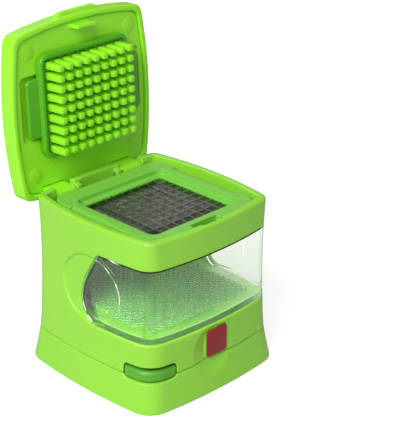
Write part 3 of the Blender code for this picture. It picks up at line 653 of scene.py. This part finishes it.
def mouth_outline(gap=0.0, beyond=0.0, steps=24):
    """Side view of the drawer's mouth as (y, z), drawn in by gap: its back edge is one swelling curve.

    Beyond carries it straight on past its top and bottom.
    """
    top = (MOUTH_TOP_Y - gap, BAND_Z - gap)
    middle = (MOUTH_BULGE[0] - gap, MOUTH_BULGE[1])
    bottom = (MOUTH_BOTTOM_Y - gap, DECK_TOP_Z + gap)
    curve = []
    for i in range(steps + 1):
        t = i / steps
        curve.append(tuple(
            (1 - t) ** 2 * a + 2 * t * (1 - t) * b + t * t * c for a, b, c in zip(bottom, middle, top)
        ))
    if beyond:
        curve = [(bottom[0], bottom[1] - beyond)] + curve + [(top[0], top[1] + beyond)]
    return [(-REACH, curve[0][1])] + curve + [(-REACH, curve[-1][1])]


def mouth(name, gap=0.0, beyond=0.0):
    return prism(name, mouth_outline(gap, beyond), -REACH, REACH, "X")


def dimples(name):
    """What both finger dimples take away: an oval bar, less the body drawn in by their depth."""
    length, height, depth = 16.3 * MM, 14.6 * MM, 0.8 * MM
    middle = (-2.5 * MM, 45.3 * MM)
    oval = [
        (middle[0] + length * cos(a), middle[1] + height * sin(a))
        for a in np.linspace(0, 2 * pi, 96, endpoint=False)
    ]
    return cut(prism(name, oval, -REACH, REACH, "X"), body_block("dimple_core", SEAM_Z, RIM_Z, depth))


BADGE_LOW, BADGE_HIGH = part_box("badge")
BADGE_PAD = 1.4 * MM


def make_housing():
    low = SEAM_Z + GAP
    shell = body_block("housing_shell", low, RIM_Z, bottom=0.25 * MM, top=1.0 * MM)
    well = loft("well", rounded(
        lambda z, more: body_outline(RIM_Z, RIM_WALL + more), SEAT_Z, RIM_Z + OVERCUT, bottom=0.5 * MM
    ))
    opening = prism(
        "seat_opening",
        round_square(SEAT_OPENING, SEAT_OPENING, SEAT_CORNER, (0, CARTRIDGE_Y)),
        BAND_Z - MM,
        SEAT_Z + MM,
    )
    cut(
        shell,
        body_block("compartment", low - OVERCUT, DECK_TOP_Z - DECK_THICK, BODY_WALL),
        body_block("drawer_bay", DECK_TOP_Z, BAND_Z + GAP, BODY_WALL),
        mouth("mouth"),
        opening,
        well,
    )
    for start, end in EAR_SPANS:
        boss = block(
            "boss",
            (start - BOSS_LENGTH, HINGE.y - EAR_RADIUS, SEAT_Z - MM),
            (end + BOSS_LENGTH, HALVES[-1] - RIM_WALL / 2, HINGE.z + EAR_RADIUS),
        )
        notch = block(
            "ear_notch",
            (start - GAP, HINGE.y - EAR_RADIUS - OVERCUT, SEAT_Z),
            (end + GAP, REACH, RIM_Z + OVERCUT),
        )
        join(shell, boss)
        cut(shell, notch, rod(
            "pin_bore",
            start - BOSS_LENGTH - BORE_CLEAR,
            end + BOSS_LENGTH + BORE_CLEAR,
            BORE_RADIUS,
            HINGE.y,
            HINGE.z,
        ))
    recess = block(
        "hook_recess",
        (-HOOK_WIDTH / 2 - 2 * HOOK_CLEAR, HOOK_FRONT_Y - HOOK_CLEAR, SEAT_Z + GAP),
        (HOOK_WIDTH / 2 + 2 * HOOK_CLEAR, -HALVES[-1] + 2 * RIM_WALL, RIM_Z + OVERCUT),
    )
    tab_room = tab_bar("tab_room", 0.0, TAB_TOP_Z + TAB_SLOT, GAP)
    cut(shell, recess, dimples("dimples"), tab_room, thumb_dish())
    back = BADGE_HIGH.y + GAP
    pad = block(
        "badge_pad", (BADGE_LOW.x, back, BADGE_LOW.z), (BADGE_HIGH.x, back + BADGE_PAD, BADGE_HIGH.z)
    )
    pocket = block(
        "badge_pocket",
        (BADGE_LOW.x - GAP, -REACH, BADGE_LOW.z - GAP),
        (BADGE_HIGH.x + GAP, back, BADGE_HIGH.z + GAP),
    )
    join(shell, pad)
    cut(shell, pocket)
    return mould(shell, 0.42 * MM, rounds=2, keep=0.33)


place_piece(make_housing(), BODY_GREEN, "housing", "body_green", "housing")


# ---------------------------------------------------------------------------------------------------------
# Badge. A small domed plate of plain dark red gloss plastic, pressed into a pocket at the front, with
# nothing printed on it.

BADGE_CORNER = 1.0 * MM
BADGE_EDGE = 0.25 * MM


def make_badge():
    size = BADGE_HIGH - BADGE_LOW
    plate = prism("badge_plate", round_square(size.x, size.z, BADGE_CORNER), 0.0, size.y)
    bevel(plate, BADGE_EDGE, 3)
    middle = (BADGE_LOW + BADGE_HIGH) / 2
    plate.data.transform(
        Matrix.Translation((middle.x, BADGE_HIGH.y, middle.z)) @ Matrix.Rotation(pi / 2, 4, "X")
    )
    return shade(plate, 35)


BADGE_RED = plastic("badge_red", (0.290, 0.003, 0.013), (0.240, 0.002, 0.010), roughness=0.36)
place_piece(make_badge(), BADGE_RED, "housing", "badge_red", "badge")


# ---------------------------------------------------------------------------------------------------------
# Hinge pins. Two short lengths of stainless wire that hold the lid's ears between the bosses, with their
# cut ends broken to a small chamfer.


def steel(name, colour, roughness, along):
    """Stainless steel with fine grinding lines along one axis."""
    made = bpy.data.materials.new(name)
    made.use_nodes = True
    nodes, links, tree = made.node_tree.nodes, made.node_tree.links, made.node_tree
    shader = nodes["Principled BSDF"]
    shader.inputs["Base Color"].default_value = (*colour, 1)
    shader.inputs["Metallic"].default_value = 1.0
    place = nodes.new("ShaderNodeTexCoord").outputs["Object"]
    stretch = nodes.new("ShaderNodeMapping")
    stretch.inputs["Scale"].default_value = along
    links.new(place, stretch.inputs["Vector"])
    lines = noise(tree, stretch.outputs["Vector"], 1500.0, 3.0, 0.6)
    links.new(ramp(tree, lines, 0.3, 0.7, roughness, roughness + 0.18), shader.inputs["Roughness"])
    bump = nodes.new("ShaderNodeBump")
    bump.inputs["Strength"].default_value = 0.08
    bump.inputs["Distance"].default_value = 0.1 * MM
    links.new(lines, bump.inputs["Height"])
    links.new(bump.outputs["Normal"], shader.inputs["Normal"])
    return made


HINGE_PIN_EDGE = 0.2 * MM
PIN_STEEL = steel("pin_steel", (0.62, 0.62, 0.60), 0.2, (0.05, 1, 1))
for side in ("left", "right"):
    low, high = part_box(f"hinge_pin_{side}")
    pin = rod(f"hinge_wire_{side}", low.x, high.x, HINGE_PIN_RADIUS, HINGE.y, HINGE.z)
    shade(bevel(pin, HINGE_PIN_EDGE, 2, over=60), 50)
    place_piece(pin, PIN_STEEL, "housing", "blade_steel", f"hinge_pin_{side}")


# ---------------------------------------------------------------------------------------------------------
# Drawer. A clear moulded tub that catches the cubes. Its front half fills the mouth flush with the body, its
# back half slides inside, and its floor is moulded with rows of small rings that keep wet food from sticking.

DRAWER_WALL = 1.8 * MM
DRAWER_FLOOR = 2.0 * MM
DRAWER_INSET = BODY_WALL + 0.4 * MM
DRAWER_INNER_CORNER = 3.0 * MM
FROST_Z = DECK_TOP_Z + GAP + 0.3 * MM
FROST_FADE = 0.3 * MM
RING_MIDDLE = (-0.75 * MM, -1.5 * MM)
RING_LIFT = 0.1 * MM


def clear_plastic(name, tint, shadow, roughness, clearness=1.0, frost_z=0.0):
    """A clear moulding that lets lamp light through in the shadow's colour, frosted below a height."""
    made = bpy.data.materials.new(name)
    made.use_nodes = True
    nodes, links, tree = made.node_tree.nodes, made.node_tree.links, made.node_tree
    shader = nodes["Principled BSDF"]
    shader.inputs["Base Color"].default_value = (*tint, 1)
    shader.inputs["Transmission Weight"].default_value = clearness
    shader.inputs["IOR"].default_value = 1.46
    place = nodes.new("ShaderNodeTexCoord").outputs["Object"]
    split = nodes.new("ShaderNodeSeparateXYZ")
    links.new(place, split.inputs["Vector"])
    frost = ramp(tree, split.outputs["Z"], frost_z, frost_z + FROST_FADE, 0.4, 0.0)
    haze = ramp(tree, noise(tree, place, 90.0, 3.0), 0.45, 0.75, roughness, roughness + 0.06)
    links.new(maths(tree, "ADD", haze, frost), shader.inputs["Roughness"])
    bump = nodes.new("ShaderNodeBump")
    bump.inputs["Strength"].default_value = 0.03
    bump.inputs["Distance"].default_value = 0.4 * MM
    links.new(noise(tree, place, 120.0, 1.0), bump.inputs["Height"])
    links.new(bump.outputs["Normal"], shader.inputs["Normal"])
    clear = nodes.new("ShaderNodeBsdfTransparent")
    clear.inputs["Color"].default_value = (*shadow, 1)
    mix = nodes.new("ShaderNodeMixShader")
    links.new(nodes.new("ShaderNodeLightPath").outputs["Is Shadow Ray"], mix.inputs["Fac"])
    links.new(shader.outputs["BSDF"], mix.inputs[1])
    links.new(clear.outputs["BSDF"], mix.inputs[2])
    links.new(mix.outputs["Shader"], nodes["Material Output"].inputs["Surface"])
    return made


def finish_tree(tree, shape, given, out):
    """Realizes a tree's instances, smooths them and gives them their material."""
    real = tree.nodes.new("GeometryNodeRealizeInstances")
    soft = tree.nodes.new("GeometryNodeSetShadeSmooth")
    paint = tree.nodes.new("GeometryNodeSetMaterial")
    tree.links.new(shape, real.inputs["Geometry"])
    tree.links.new(real.outputs["Geometry"], soft.inputs["Geometry"])
    tree.links.new(soft.outputs["Geometry"], paint.inputs["Geometry"])
    tree.links.new(given.outputs["Material"], paint.inputs["Material"])
    tree.links.new(paint.outputs["Geometry"], out.inputs["Geometry"])


def ring_rows():
    """A Geometry Nodes tree: a block of staggered rings, each a small tube bent round a circle."""
    tree, given, out = new_tree(
        "GeometryNodeTree",
        "ring_rows",
        [
            ("Count", "NodeSocketInt", 10),
            ("Pitch", "NodeSocketFloat", 3.0 * MM),
            ("Ring Radius", "NodeSocketFloat", 1.0 * MM),
            ("Wire Radius", "NodeSocketFloat", 0.2 * MM),
            ("Material", "NodeSocketMaterial", None),
        ],
        [("Geometry", "NodeSocketGeometry")],
    )
    nodes, links = tree.nodes, tree.links
    steps = maths(tree, "SUBTRACT", given.outputs["Count"], 1.0)
    span = maths(tree, "MULTIPLY", steps, given.outputs["Pitch"])
    both = nodes.new("GeometryNodeJoinGeometry")
    for shift in (0.0, 0.5):
        grid = nodes.new("GeometryNodeMeshGrid")
        for axis in "XY":
            links.new(span, grid.inputs[f"Size {axis}"])
            links.new(given.outputs["Count"], grid.inputs[f"Vertices {axis}"])
        step = maths(tree, "MULTIPLY", given.outputs["Pitch"], shift)
        offset = nodes.new("ShaderNodeCombineXYZ")
        for axis in "XY":
            links.new(step, offset.inputs[axis])
        move = nodes.new("GeometryNodeTransform")
        links.new(grid.outputs["Mesh"], move.inputs["Geometry"])
        links.new(offset.outputs[0], move.inputs["Translation"])
        links.new(move.outputs["Geometry"], both.inputs["Geometry"])
    circle = nodes.new("GeometryNodeCurvePrimitiveCircle")
    circle.inputs["Resolution"].default_value = 12
    links.new(given.outputs["Ring Radius"], circle.inputs["Radius"])
    wire = nodes.new("GeometryNodeCurvePrimitiveCircle")
    wire.inputs["Resolution"].default_value = 5
    links.new(given.outputs["Wire Radius"], wire.inputs["Radius"])
    tube = nodes.new("GeometryNodeCurveToMesh")
    links.new(circle.outputs["Curve"], tube.inputs["Curve"])
    links.new(wire.outputs["Curve"], tube.inputs["Profile Curve"])
    copies = nodes.new("GeometryNodeInstanceOnPoints")
    links.new(both.outputs["Geometry"], copies.inputs["Points"])
    links.new(tube.outputs["Mesh"], copies.inputs["Instance"])
    finish_tree(tree, copies.outputs["Instances"], given, out)
    return tree


def grow(name, tree, **values):
    """A plain mesh object made by a Geometry Nodes tree with the given inputs."""
    item = solid(name, bpy.data.meshes.new(name))
    step = item.modifiers.new("grow", "NODES")
    step.node_group = tree
    sockets = {s.name: s.identifier for s in tree.interface.items_tree if s.in_out == "INPUT"}
    for label, value in values.items():
        step[sockets[label.replace("_", " ")]] = value
    return plain(item)


def drawer_space(name, low, high, wall, bottom, corner=None):
    """The space that the drawer fills, drawn in by a wall.

    It is flush with the body in the mouth, and inside the body's wall behind it.
    """
    space = body_block(name, low, high, wall, bottom, corner=corner)
    back = body_block("back", low, high, DRAWER_INSET + wall, bottom)
    return join(combine(space, "INTERSECT", mouth("front", DRAWER_GAP + wall, 2 * OVERCUT)), back)


def make_drawer():
    low, high = (corner.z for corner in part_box("drawer"))
    tub = drawer_space("clear_drawer", low, high, 0.0, 0.8 * MM)
    floor = low + DRAWER_FLOOR
    inside = drawer_space("inside", floor, high + OVERCUT, DRAWER_WALL, 1.0 * MM, DRAWER_INNER_CORNER)
    cut(tub, inside, dimples("drawer_dimples"))
    return shade(tub, 32)


CLEAR = clear_plastic("drawer_clear", (0.960, 0.998, 0.940), (0.82, 0.90, 0.78), 0.015, frost_z=FROST_Z)
place_piece(make_drawer(), CLEAR, "drawer", "clear_plastic", "drawer")
# Painted light: the rings are clear like the drawer, and their partly opaque green colour stands in for the
# green body seen through them and for the highlights along their edges.
RING_CLEAR = clear_plastic("ring_clear", (0.42, 0.74, 0.34), (0.55, 0.65, 0.50), 0.2, clearness=0.6)
rings = grow(
    "drawer_floor_rings",
    ring_rows(),
    Count=18,
    Pitch=3.1 * MM,
    Ring_Radius=1.0 * MM,
    Wire_Radius=0.3 * MM,
    Material=RING_CLEAR,
)
ring_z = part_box("drawer")[0].z + DRAWER_FLOOR + RING_LIFT
rings.data.transform(Matrix.Translation((*RING_MIDDLE, ring_z)))
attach(rings, "drawer")


# ---------------------------------------------------------------------------------------------------------
# Blade cartridge. Two green frames snap together round the ends of the blades. The upper one has a square
# pocket over the blades, stepped side edges to grip and a notch at the front that clears the lid's hook.

FRAME_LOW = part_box("lower_frame")[0].z
FRAME_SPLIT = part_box("lower_frame")[1].z
UPPER_LOW, FRAME_TOP = (corner.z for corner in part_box("upper_frame"))
FRAME_SIDE = 60.0 * MM
FRAME_CORNER = 6.5 * MM
CELLS = 9
PITCH_X = 4.7 * MM
PITCH_Y = 4.4 * MM
GRID_Y = -3.0 * MM
WINDOW_CLEAR = 0.6 * MM
WINDOW = (CELLS * PITCH_X + WINDOW_CLEAR, CELLS * PITCH_Y + WINDOW_CLEAR)
WINDOW_CORNER = 1.0 * MM
POCKET = (49.0 * MM, 46.0 * MM)
POCKET_CORNER = 4.0 * MM
POCKET_DEPTH = 2.0 * MM
FRAME_LIP = 0.8 * MM
SIDE_STEP_LENGTH = 36.0 * MM
SIDE_STEP_WIDTH = 2.2 * MM
SIDE_STEP_DEPTH = 1.2 * MM
NOTCH_WIDTH = 15.0 * MM
NOTCH_DEPTH = 2.6 * MM


def frame_outline(z, shrink):
    side = FRAME_SIDE - 2 * shrink
    return round_square(side, side, FRAME_CORNER - shrink, (0, CARTRIDGE_Y))


def grid_hole(name, size, corner, low, high):
    return prism(name, round_square(*size, corner, (0, GRID_Y)), low, high)


def front_notch():
    front = CARTRIDGE_Y - FRAME_SIDE / 2
    return block(
        "front_notch",
        (-NOTCH_WIDTH / 2, front - OVERCUT, FRAME_LOW - MM),
        (NOTCH_WIDTH / 2, front + NOTCH_DEPTH, FRAME_TOP + MM),
    )


def make_lower_frame():
    ring = loft("cartridge_lower", rounded(frame_outline, FRAME_LOW, FRAME_SPLIT, 0.7 * MM, 0.3 * MM))
    cut(
        ring,
        grid_hole("window", WINDOW, WINDOW_CORNER, FRAME_LOW - MM, FRAME_SPLIT + MM),
        grid_hole("blade_pocket", POCKET, POCKET_CORNER, FRAME_LOW + FRAME_LIP, FRAME_SPLIT + MM),
        front_notch(),
    )
    return mould(ring, 0.25 * MM, rounds=2, keep=0.3)


def make_upper_frame():
    ring = loft("cartridge_upper", rounded(frame_outline, UPPER_LOW, FRAME_TOP, 0.25 * MM, 0.9 * MM))
    cut(
        ring,
        grid_hole("window", WINDOW, WINDOW_CORNER, UPPER_LOW - MM, FRAME_TOP),
        grid_hole("pocket", POCKET, POCKET_CORNER, FRAME_TOP - POCKET_DEPTH, FRAME_TOP + MM),
        front_notch(),
    )
    for side in (-1, 1):
        ends = sorted((side * (FRAME_SIDE / 2 - SIDE_STEP_WIDTH), side * REACH))
        cut(ring, block(
            "side_step",
            (ends[0], CARTRIDGE_Y - SIDE_STEP_LENGTH / 2, FRAME_TOP - SIDE_STEP_DEPTH),
            (ends[1], CARTRIDGE_Y + SIDE_STEP_LENGTH / 2, FRAME_TOP + MM),
        ))
    return mould(ring, 0.2 * MM, rounds=3, keep=0.3)


CARTRIDGE_GREEN = plastic("cartridge_green", (0.215, 0.610, 0.070), (0.165, 0.500, 0.050), scatter=0.1)
place_piece(make_lower_frame(), CARTRIDGE_GREEN, "cartridge", "cartridge_green", "lower_frame")
place_piece(make_upper_frame(), CARTRIDGE_GREEN, "cartridge", "cartridge_green", "upper_frame")


# ---------------------------------------------------------------------------------------------------------
# Blades. Sixteen strips of thin stainless steel, eight each way, slotted to half their depth so that they
# interlock. They are punched flat parts with ground edges, and keep the frame's own solids.

# Painted shade: the blades' steel is set darker than the hinge pins' steel, standing in for the shade that
# falls between the blades inside the grid.
SHADED_BLADE_GREY = (0.40, 0.39, 0.37)
BLADE_STEEL = {
    "x": steel("blade_steel_x", SHADED_BLADE_GREY, 0.22, (0.04, 1, 1)),
    "y": steel("blade_steel_y", SHADED_BLADE_GREY, 0.22, (1, 0.04, 1)),
}
for axis, paint in BLADE_STEEL.items():
    for n in range(1, CELLS):
        blade = frame["nodes"][f"blade_{axis}{n}"]
        blade.data.materials.clear()
        blade.data.materials.append(paint)


# ---------------------------------------------------------------------------------------------------------
# Lid cover. A domed-edge green shell, hung on two ears at its back, with a thin finger lip at its front. It
# is worked out closed, over the rim, and then turned open about the hinge line.

LID_HALF = 37.6 * MM
LID_BOW = 3.8 * MM
LID_CORNER = 4.7 * MM
LID_LOW = RIM_Z + 0.8 * MM
LID_HIGH = LID_LOW + 8.0 * MM
LID_WALL = 2.4 * MM
LID_INNER_CORNER = 4.6 * MM
LID_TOP = 2.2 * MM
LIP_WIDTH = 24.0 * MM
LIP_REACH = 2.0 * MM
LIP_HEIGHT = 2.6 * MM
LIP_CORNER = 3.9 * MM
PANEL_LOW = LID_LOW + 1.0 * MM
PANEL_THICK = 2.5 * MM
PANEL_SEAM = 0.06 * MM
PANEL_EAR_CLEAR = 0.3 * MM
OPEN = radians(joints["lid_hinge"]["range_deg"][0])


def lid_outline(z, inset):
    return bowed_square(LID_HALF - inset, LID_BOW, max(LID_CORNER - inset, 1.0 * MM))


def lid_inside(z, inset):
    return bowed_square(LID_HALF - LID_WALL - inset, LID_BOW, LID_INNER_CORNER - inset)


def swing_open(item):
    """Turns a finished closed piece about the hinge line to where the lid rests open."""
    item.data.transform(
        Matrix.Translation(HINGE) @ Matrix.Rotation(OPEN, 4, "X") @ Matrix.Translation(-HINGE)
    )
    return item


def make_lid_cover():
    cover = loft("lid_shell", rounded(lid_outline, LID_LOW, LID_HIGH, 0.9 * MM, 1.6 * MM, steps=6, levels=3))
    hollow = loft("hollow", rounded(lid_inside, LID_LOW - MM, LID_HIGH - LID_TOP))
    lip = loft("lip", rounded(
        lambda z, more: round_square(
            LIP_WIDTH - 2 * more, 4 * LIP_REACH - 2 * more, LIP_CORNER - more, (0, -LID_HALF + LIP_REACH)
        ),
        LID_LOW + MM,
        LID_LOW + MM + LIP_HEIGHT,
        0.6 * MM,
        0.6 * MM,
    ))
    join(cover, lip)
    cut(cover, hollow)
    for start, end in EAR_SPANS:
        ear = block(
            "ear", (start, HINGE.y - EAR_RADIUS, HINGE.z), (end, HINGE.y + EAR_RADIUS, PANEL_LOW)
        )
        knuckle = rod("knuckle", start, end, EAR_RADIUS, HINGE.y, HINGE.z)
        foot = block(
            "foot",
            (start, HINGE.y - EAR_RADIUS, LID_LOW),
            (end, LID_HALF - LID_WALL / 2, LID_HIGH - LID_TOP / 2),
        )
        join(cover, foot, ear, knuckle)
        cut(cover, rod("bore", start - MM, end + MM, BORE_RADIUS, HINGE.y, HINGE.z))
    return swing_open(mould(cover, 0.4 * MM, rounds=2, keep=0.3))


# Partly painted light: the lid's own green is yellower than the body's, and it is also set brighter than the
# body green to stand in for the stronger light that falls on the open lid's panel.
LID_GREEN = plastic("lid_green", (0.330, 0.860, 0.024), (0.275, 0.770, 0.018), scatter=0.15)
place_piece(make_lid_cover(), LID_GREEN, "lid", "lid_green", "lid_cover")


# ---------------------------------------------------------------------------------------------------------
# Pin plate. The panel that closes the lid's underside, moulded with a nine by nine field of square pins that
# push the food through the blades, a hook at the front and shallow recesses for the comb's tabs. The four
# low discs are where ejectors pushed the panel out of its mould.

PIN_SIDE = 3.0 * MM
PIN_LENGTH = 10.8 * MM
PIN_TAPER = 0.82
PIN_EDGE = 0.28 * MM
HOOK_THICK = 1.6 * MM
HOOK_DROP = 5.4 * MM
COMB_WIDTH = 48.0 * MM
COMB_LENGTH = 43.6 * MM
COMB_Y = GRID_Y - 0.6 * MM
COMB_RING = 1.7 * MM
COMB_TAB_LENGTH = 25.0 * MM
COMB_TAB_REACH = 6.3 * MM
COMB_TAB_CORNER = 2.2 * MM
COMB_TAB_RECESS_CLEAR = 1.2 * MM
COMB_TAB_RECESS_END = 2.0 * MM
COMB_TAB_RECESS_DEPTH = 1.3 * MM
MARK_PLACES = (
    (-27.5 * MM, -27.0 * MM),
    (27.5 * MM, -27.0 * MM),
    (-27.5 * MM, 25.0 * MM),
    (27.5 * MM, 25.0 * MM),
)
MARK_RADIUS = 3.4 * MM
MARK_RISE = 0.12 * MM
MARK_EDGE = 0.1 * MM


def square_field():
    """A Geometry Nodes tree: a square field of upright four-sided bars, which may taper downwards."""
    tree, given, out = new_tree(
        "GeometryNodeTree",
        "square_field",
        [
            ("Count", "NodeSocketInt", 9),
            ("Pitch X", "NodeSocketFloat", 4.4 * MM),
            ("Pitch Y", "NodeSocketFloat", 4.4 * MM),
            ("Foot Side", "NodeSocketFloat", 2.4 * MM),
            ("Head Side", "NodeSocketFloat", 3.0 * MM),
            ("Length", "NodeSocketFloat", 10.0 * MM),
            ("Material", "NodeSocketMaterial", None),
        ],
        [("Geometry", "NodeSocketGeometry")],
    )
    nodes, links = tree.nodes, tree.links
    steps = maths(tree, "SUBTRACT", given.outputs["Count"], 1.0)
    grid = nodes.new("GeometryNodeMeshGrid")
    for axis in "XY":
        links.new(maths(tree, "MULTIPLY", steps, given.outputs[f"Pitch {axis}"]), grid.inputs[f"Size {axis}"])
        links.new(given.outputs["Count"], grid.inputs[f"Vertices {axis}"])
    bar = nodes.new("GeometryNodeMeshCone")
    bar.inputs["Vertices"].default_value = 4
    links.new(maths(tree, "MULTIPLY", given.outputs["Head Side"], sqrt(0.5)), bar.inputs["Radius Top"])
    links.new(maths(tree, "MULTIPLY", given.outputs["Foot Side"], sqrt(0.5)), bar.inputs["Radius Bottom"])
    links.new(given.outputs["Length"], bar.inputs["Depth"])
    turn = nodes.new("GeometryNodeTransform")
    turn.inputs["Rotation"].default_value = (0, 0, pi / 4)
    links.new(bar.outputs["Mesh"], turn.inputs["Geometry"])
    copies = nodes.new("GeometryNodeInstanceOnPoints")
    links.new(grid.outputs["Mesh"], copies.inputs["Points"])
    links.new(turn.outputs["Geometry"], copies.inputs["Instance"])
    finish_tree(tree, copies.outputs["Instances"], given, out)
    return tree


SQUARES = square_field()


def make_pins():
    root = PANEL_LOW + PANEL_THICK / 2
    pins = grow(
        "lid_pins",
        SQUARES,
        Count=CELLS,
        Pitch_X=PITCH_X,
        Pitch_Y=PITCH_Y,
        Foot_Side=PIN_SIDE * PIN_TAPER,
        Head_Side=PIN_SIDE,
        Length=root - PANEL_LOW + PIN_LENGTH,
        Material=LID_GREEN,
    )
    pins.data.transform(Matrix.Translation((0, GRID_Y, PANEL_LOW - PIN_LENGTH)))
    return swing_open(shade(bevel(pins, PIN_EDGE, 2), 40))


def make_panel():
    panel = loft("lid_panel", rounded(
        lambda z, more: lid_inside(z, PANEL_SEAM + more),
        PANEL_LOW,
        PANEL_LOW + PANEL_THICK,
        bottom=0.6 * MM,
    ))
    hook = block(
        "hook",
        (-HOOK_WIDTH / 2, HOOK_FRONT_Y, PANEL_LOW - HOOK_DROP),
        (HOOK_WIDTH / 2, HOOK_FRONT_Y + HOOK_THICK, PANEL_LOW + PANEL_THICK / 2),
    )
    join(panel, hook)
    reach = COMB_WIDTH / 2 + COMB_TAB_REACH + COMB_TAB_RECESS_END
    length = COMB_TAB_LENGTH + 2 * COMB_TAB_RECESS_CLEAR
    cuts = [
        prism(
            "tab_recess",
            round_square(reach, length, COMB_TAB_CORNER, (side * reach / 2, COMB_Y)),
            PANEL_LOW - MM,
            PANEL_LOW + COMB_TAB_RECESS_DEPTH,
        )
        for side in (-1, 1)
    ]
    for start, end in EAR_SPANS:
        cuts.append(block(
            "ear_gap",
            (start - PANEL_EAR_CLEAR, HINGE.y - EAR_RADIUS - PANEL_EAR_CLEAR, PANEL_LOW - MM),
            (end + PANEL_EAR_CLEAR, LID_HALF, PANEL_LOW + PANEL_THICK + MM),
        ))
    cut(panel, *cuts)
    return swing_open(mould(panel, 0.3 * MM, rounds=2, keep=0.3))


place_piece(make_panel(), LID_GREEN, "lid", "lid_green", "pin_plate")
place_piece(make_pins(), LID_GREEN, "lid", "lid_green", "pin_plate")
for n, (x, y) in enumerate(MARK_PLACES, 1):
    circle = [
        (x + MARK_RADIUS * cos(a), y + MARK_RADIUS * sin(a))
        for a in np.linspace(0, 2 * pi, 48, endpoint=False)
    ]
    mark = prism(f"ejector_mark_{n}", circle, PANEL_LOW - MARK_RISE, PANEL_LOW + MM)
    swing_open(bevel(mark, MARK_EDGE, 2, over=60))
    place_piece(shade(mark, 50), LID_GREEN, "lid", "lid_green", "pin_plate")


# ---------------------------------------------------------------------------------------------------------
# Cleaning comb. A dark green tray with a square hole for every pin and a tab at each side. It rides at the
# roots of the pins, and pulling it off by the tabs wipes the food from between them.

COMB_CORNER = 4.6 * MM
COMB_PLATE = 1.6 * MM
COMB_RING_RISE = 1.4 * MM
COMB_PIN_CLEAR = 0.3 * MM


def make_comb():
    top = PANEL_LOW - GAP
    low = top - COMB_PLATE

    def comb_outline(z, shrink):
        size = COMB_WIDTH - 2 * shrink, COMB_LENGTH - 2 * shrink
        return round_square(*size, COMB_CORNER - shrink, (0, COMB_Y))

    comb = loft("pin_comb", rounded(comb_outline, low - COMB_RING_RISE, top, 0.8 * MM, 0.2 * MM))
    reach = COMB_WIDTH / 2 + COMB_TAB_REACH
    tabs = loft("tabs", rounded(
        lambda z, shrink: round_square(
            2 * (reach - shrink), COMB_TAB_LENGTH - 2 * shrink, COMB_TAB_CORNER - shrink, (0, COMB_Y)
        ),
        low,
        top,
        0.7 * MM,
        0.2 * MM,
    ))
    join(comb, tabs)
    tray = prism("tray", comb_outline(low, COMB_RING), low - OVERCUT, low)
    side = PIN_SIDE + 2 * COMB_PIN_CLEAR
    holes = grow(
        "comb_holes",
        SQUARES,
        Count=CELLS,
        Pitch_X=PITCH_X,
        Pitch_Y=PITCH_Y,
        Foot_Side=side,
        Head_Side=side,
        Length=2 * COMB_PLATE,
    )
    holes.data.transform(Matrix.Translation((0, GRID_Y, low - COMB_PLATE / 2)))
    cut(comb, tray, holes)
    return swing_open(mould(comb, 0.22 * MM, rounds=1, keep=0.3))


COMB_GREEN = plastic("comb_green", (0.092, 0.430, 0.006), (0.068, 0.360, 0.005), roughness=0.3, coat=0.2)
place_piece(make_comb(), COMB_GREEN, "comb", "comb_green", "cleaning_comb")
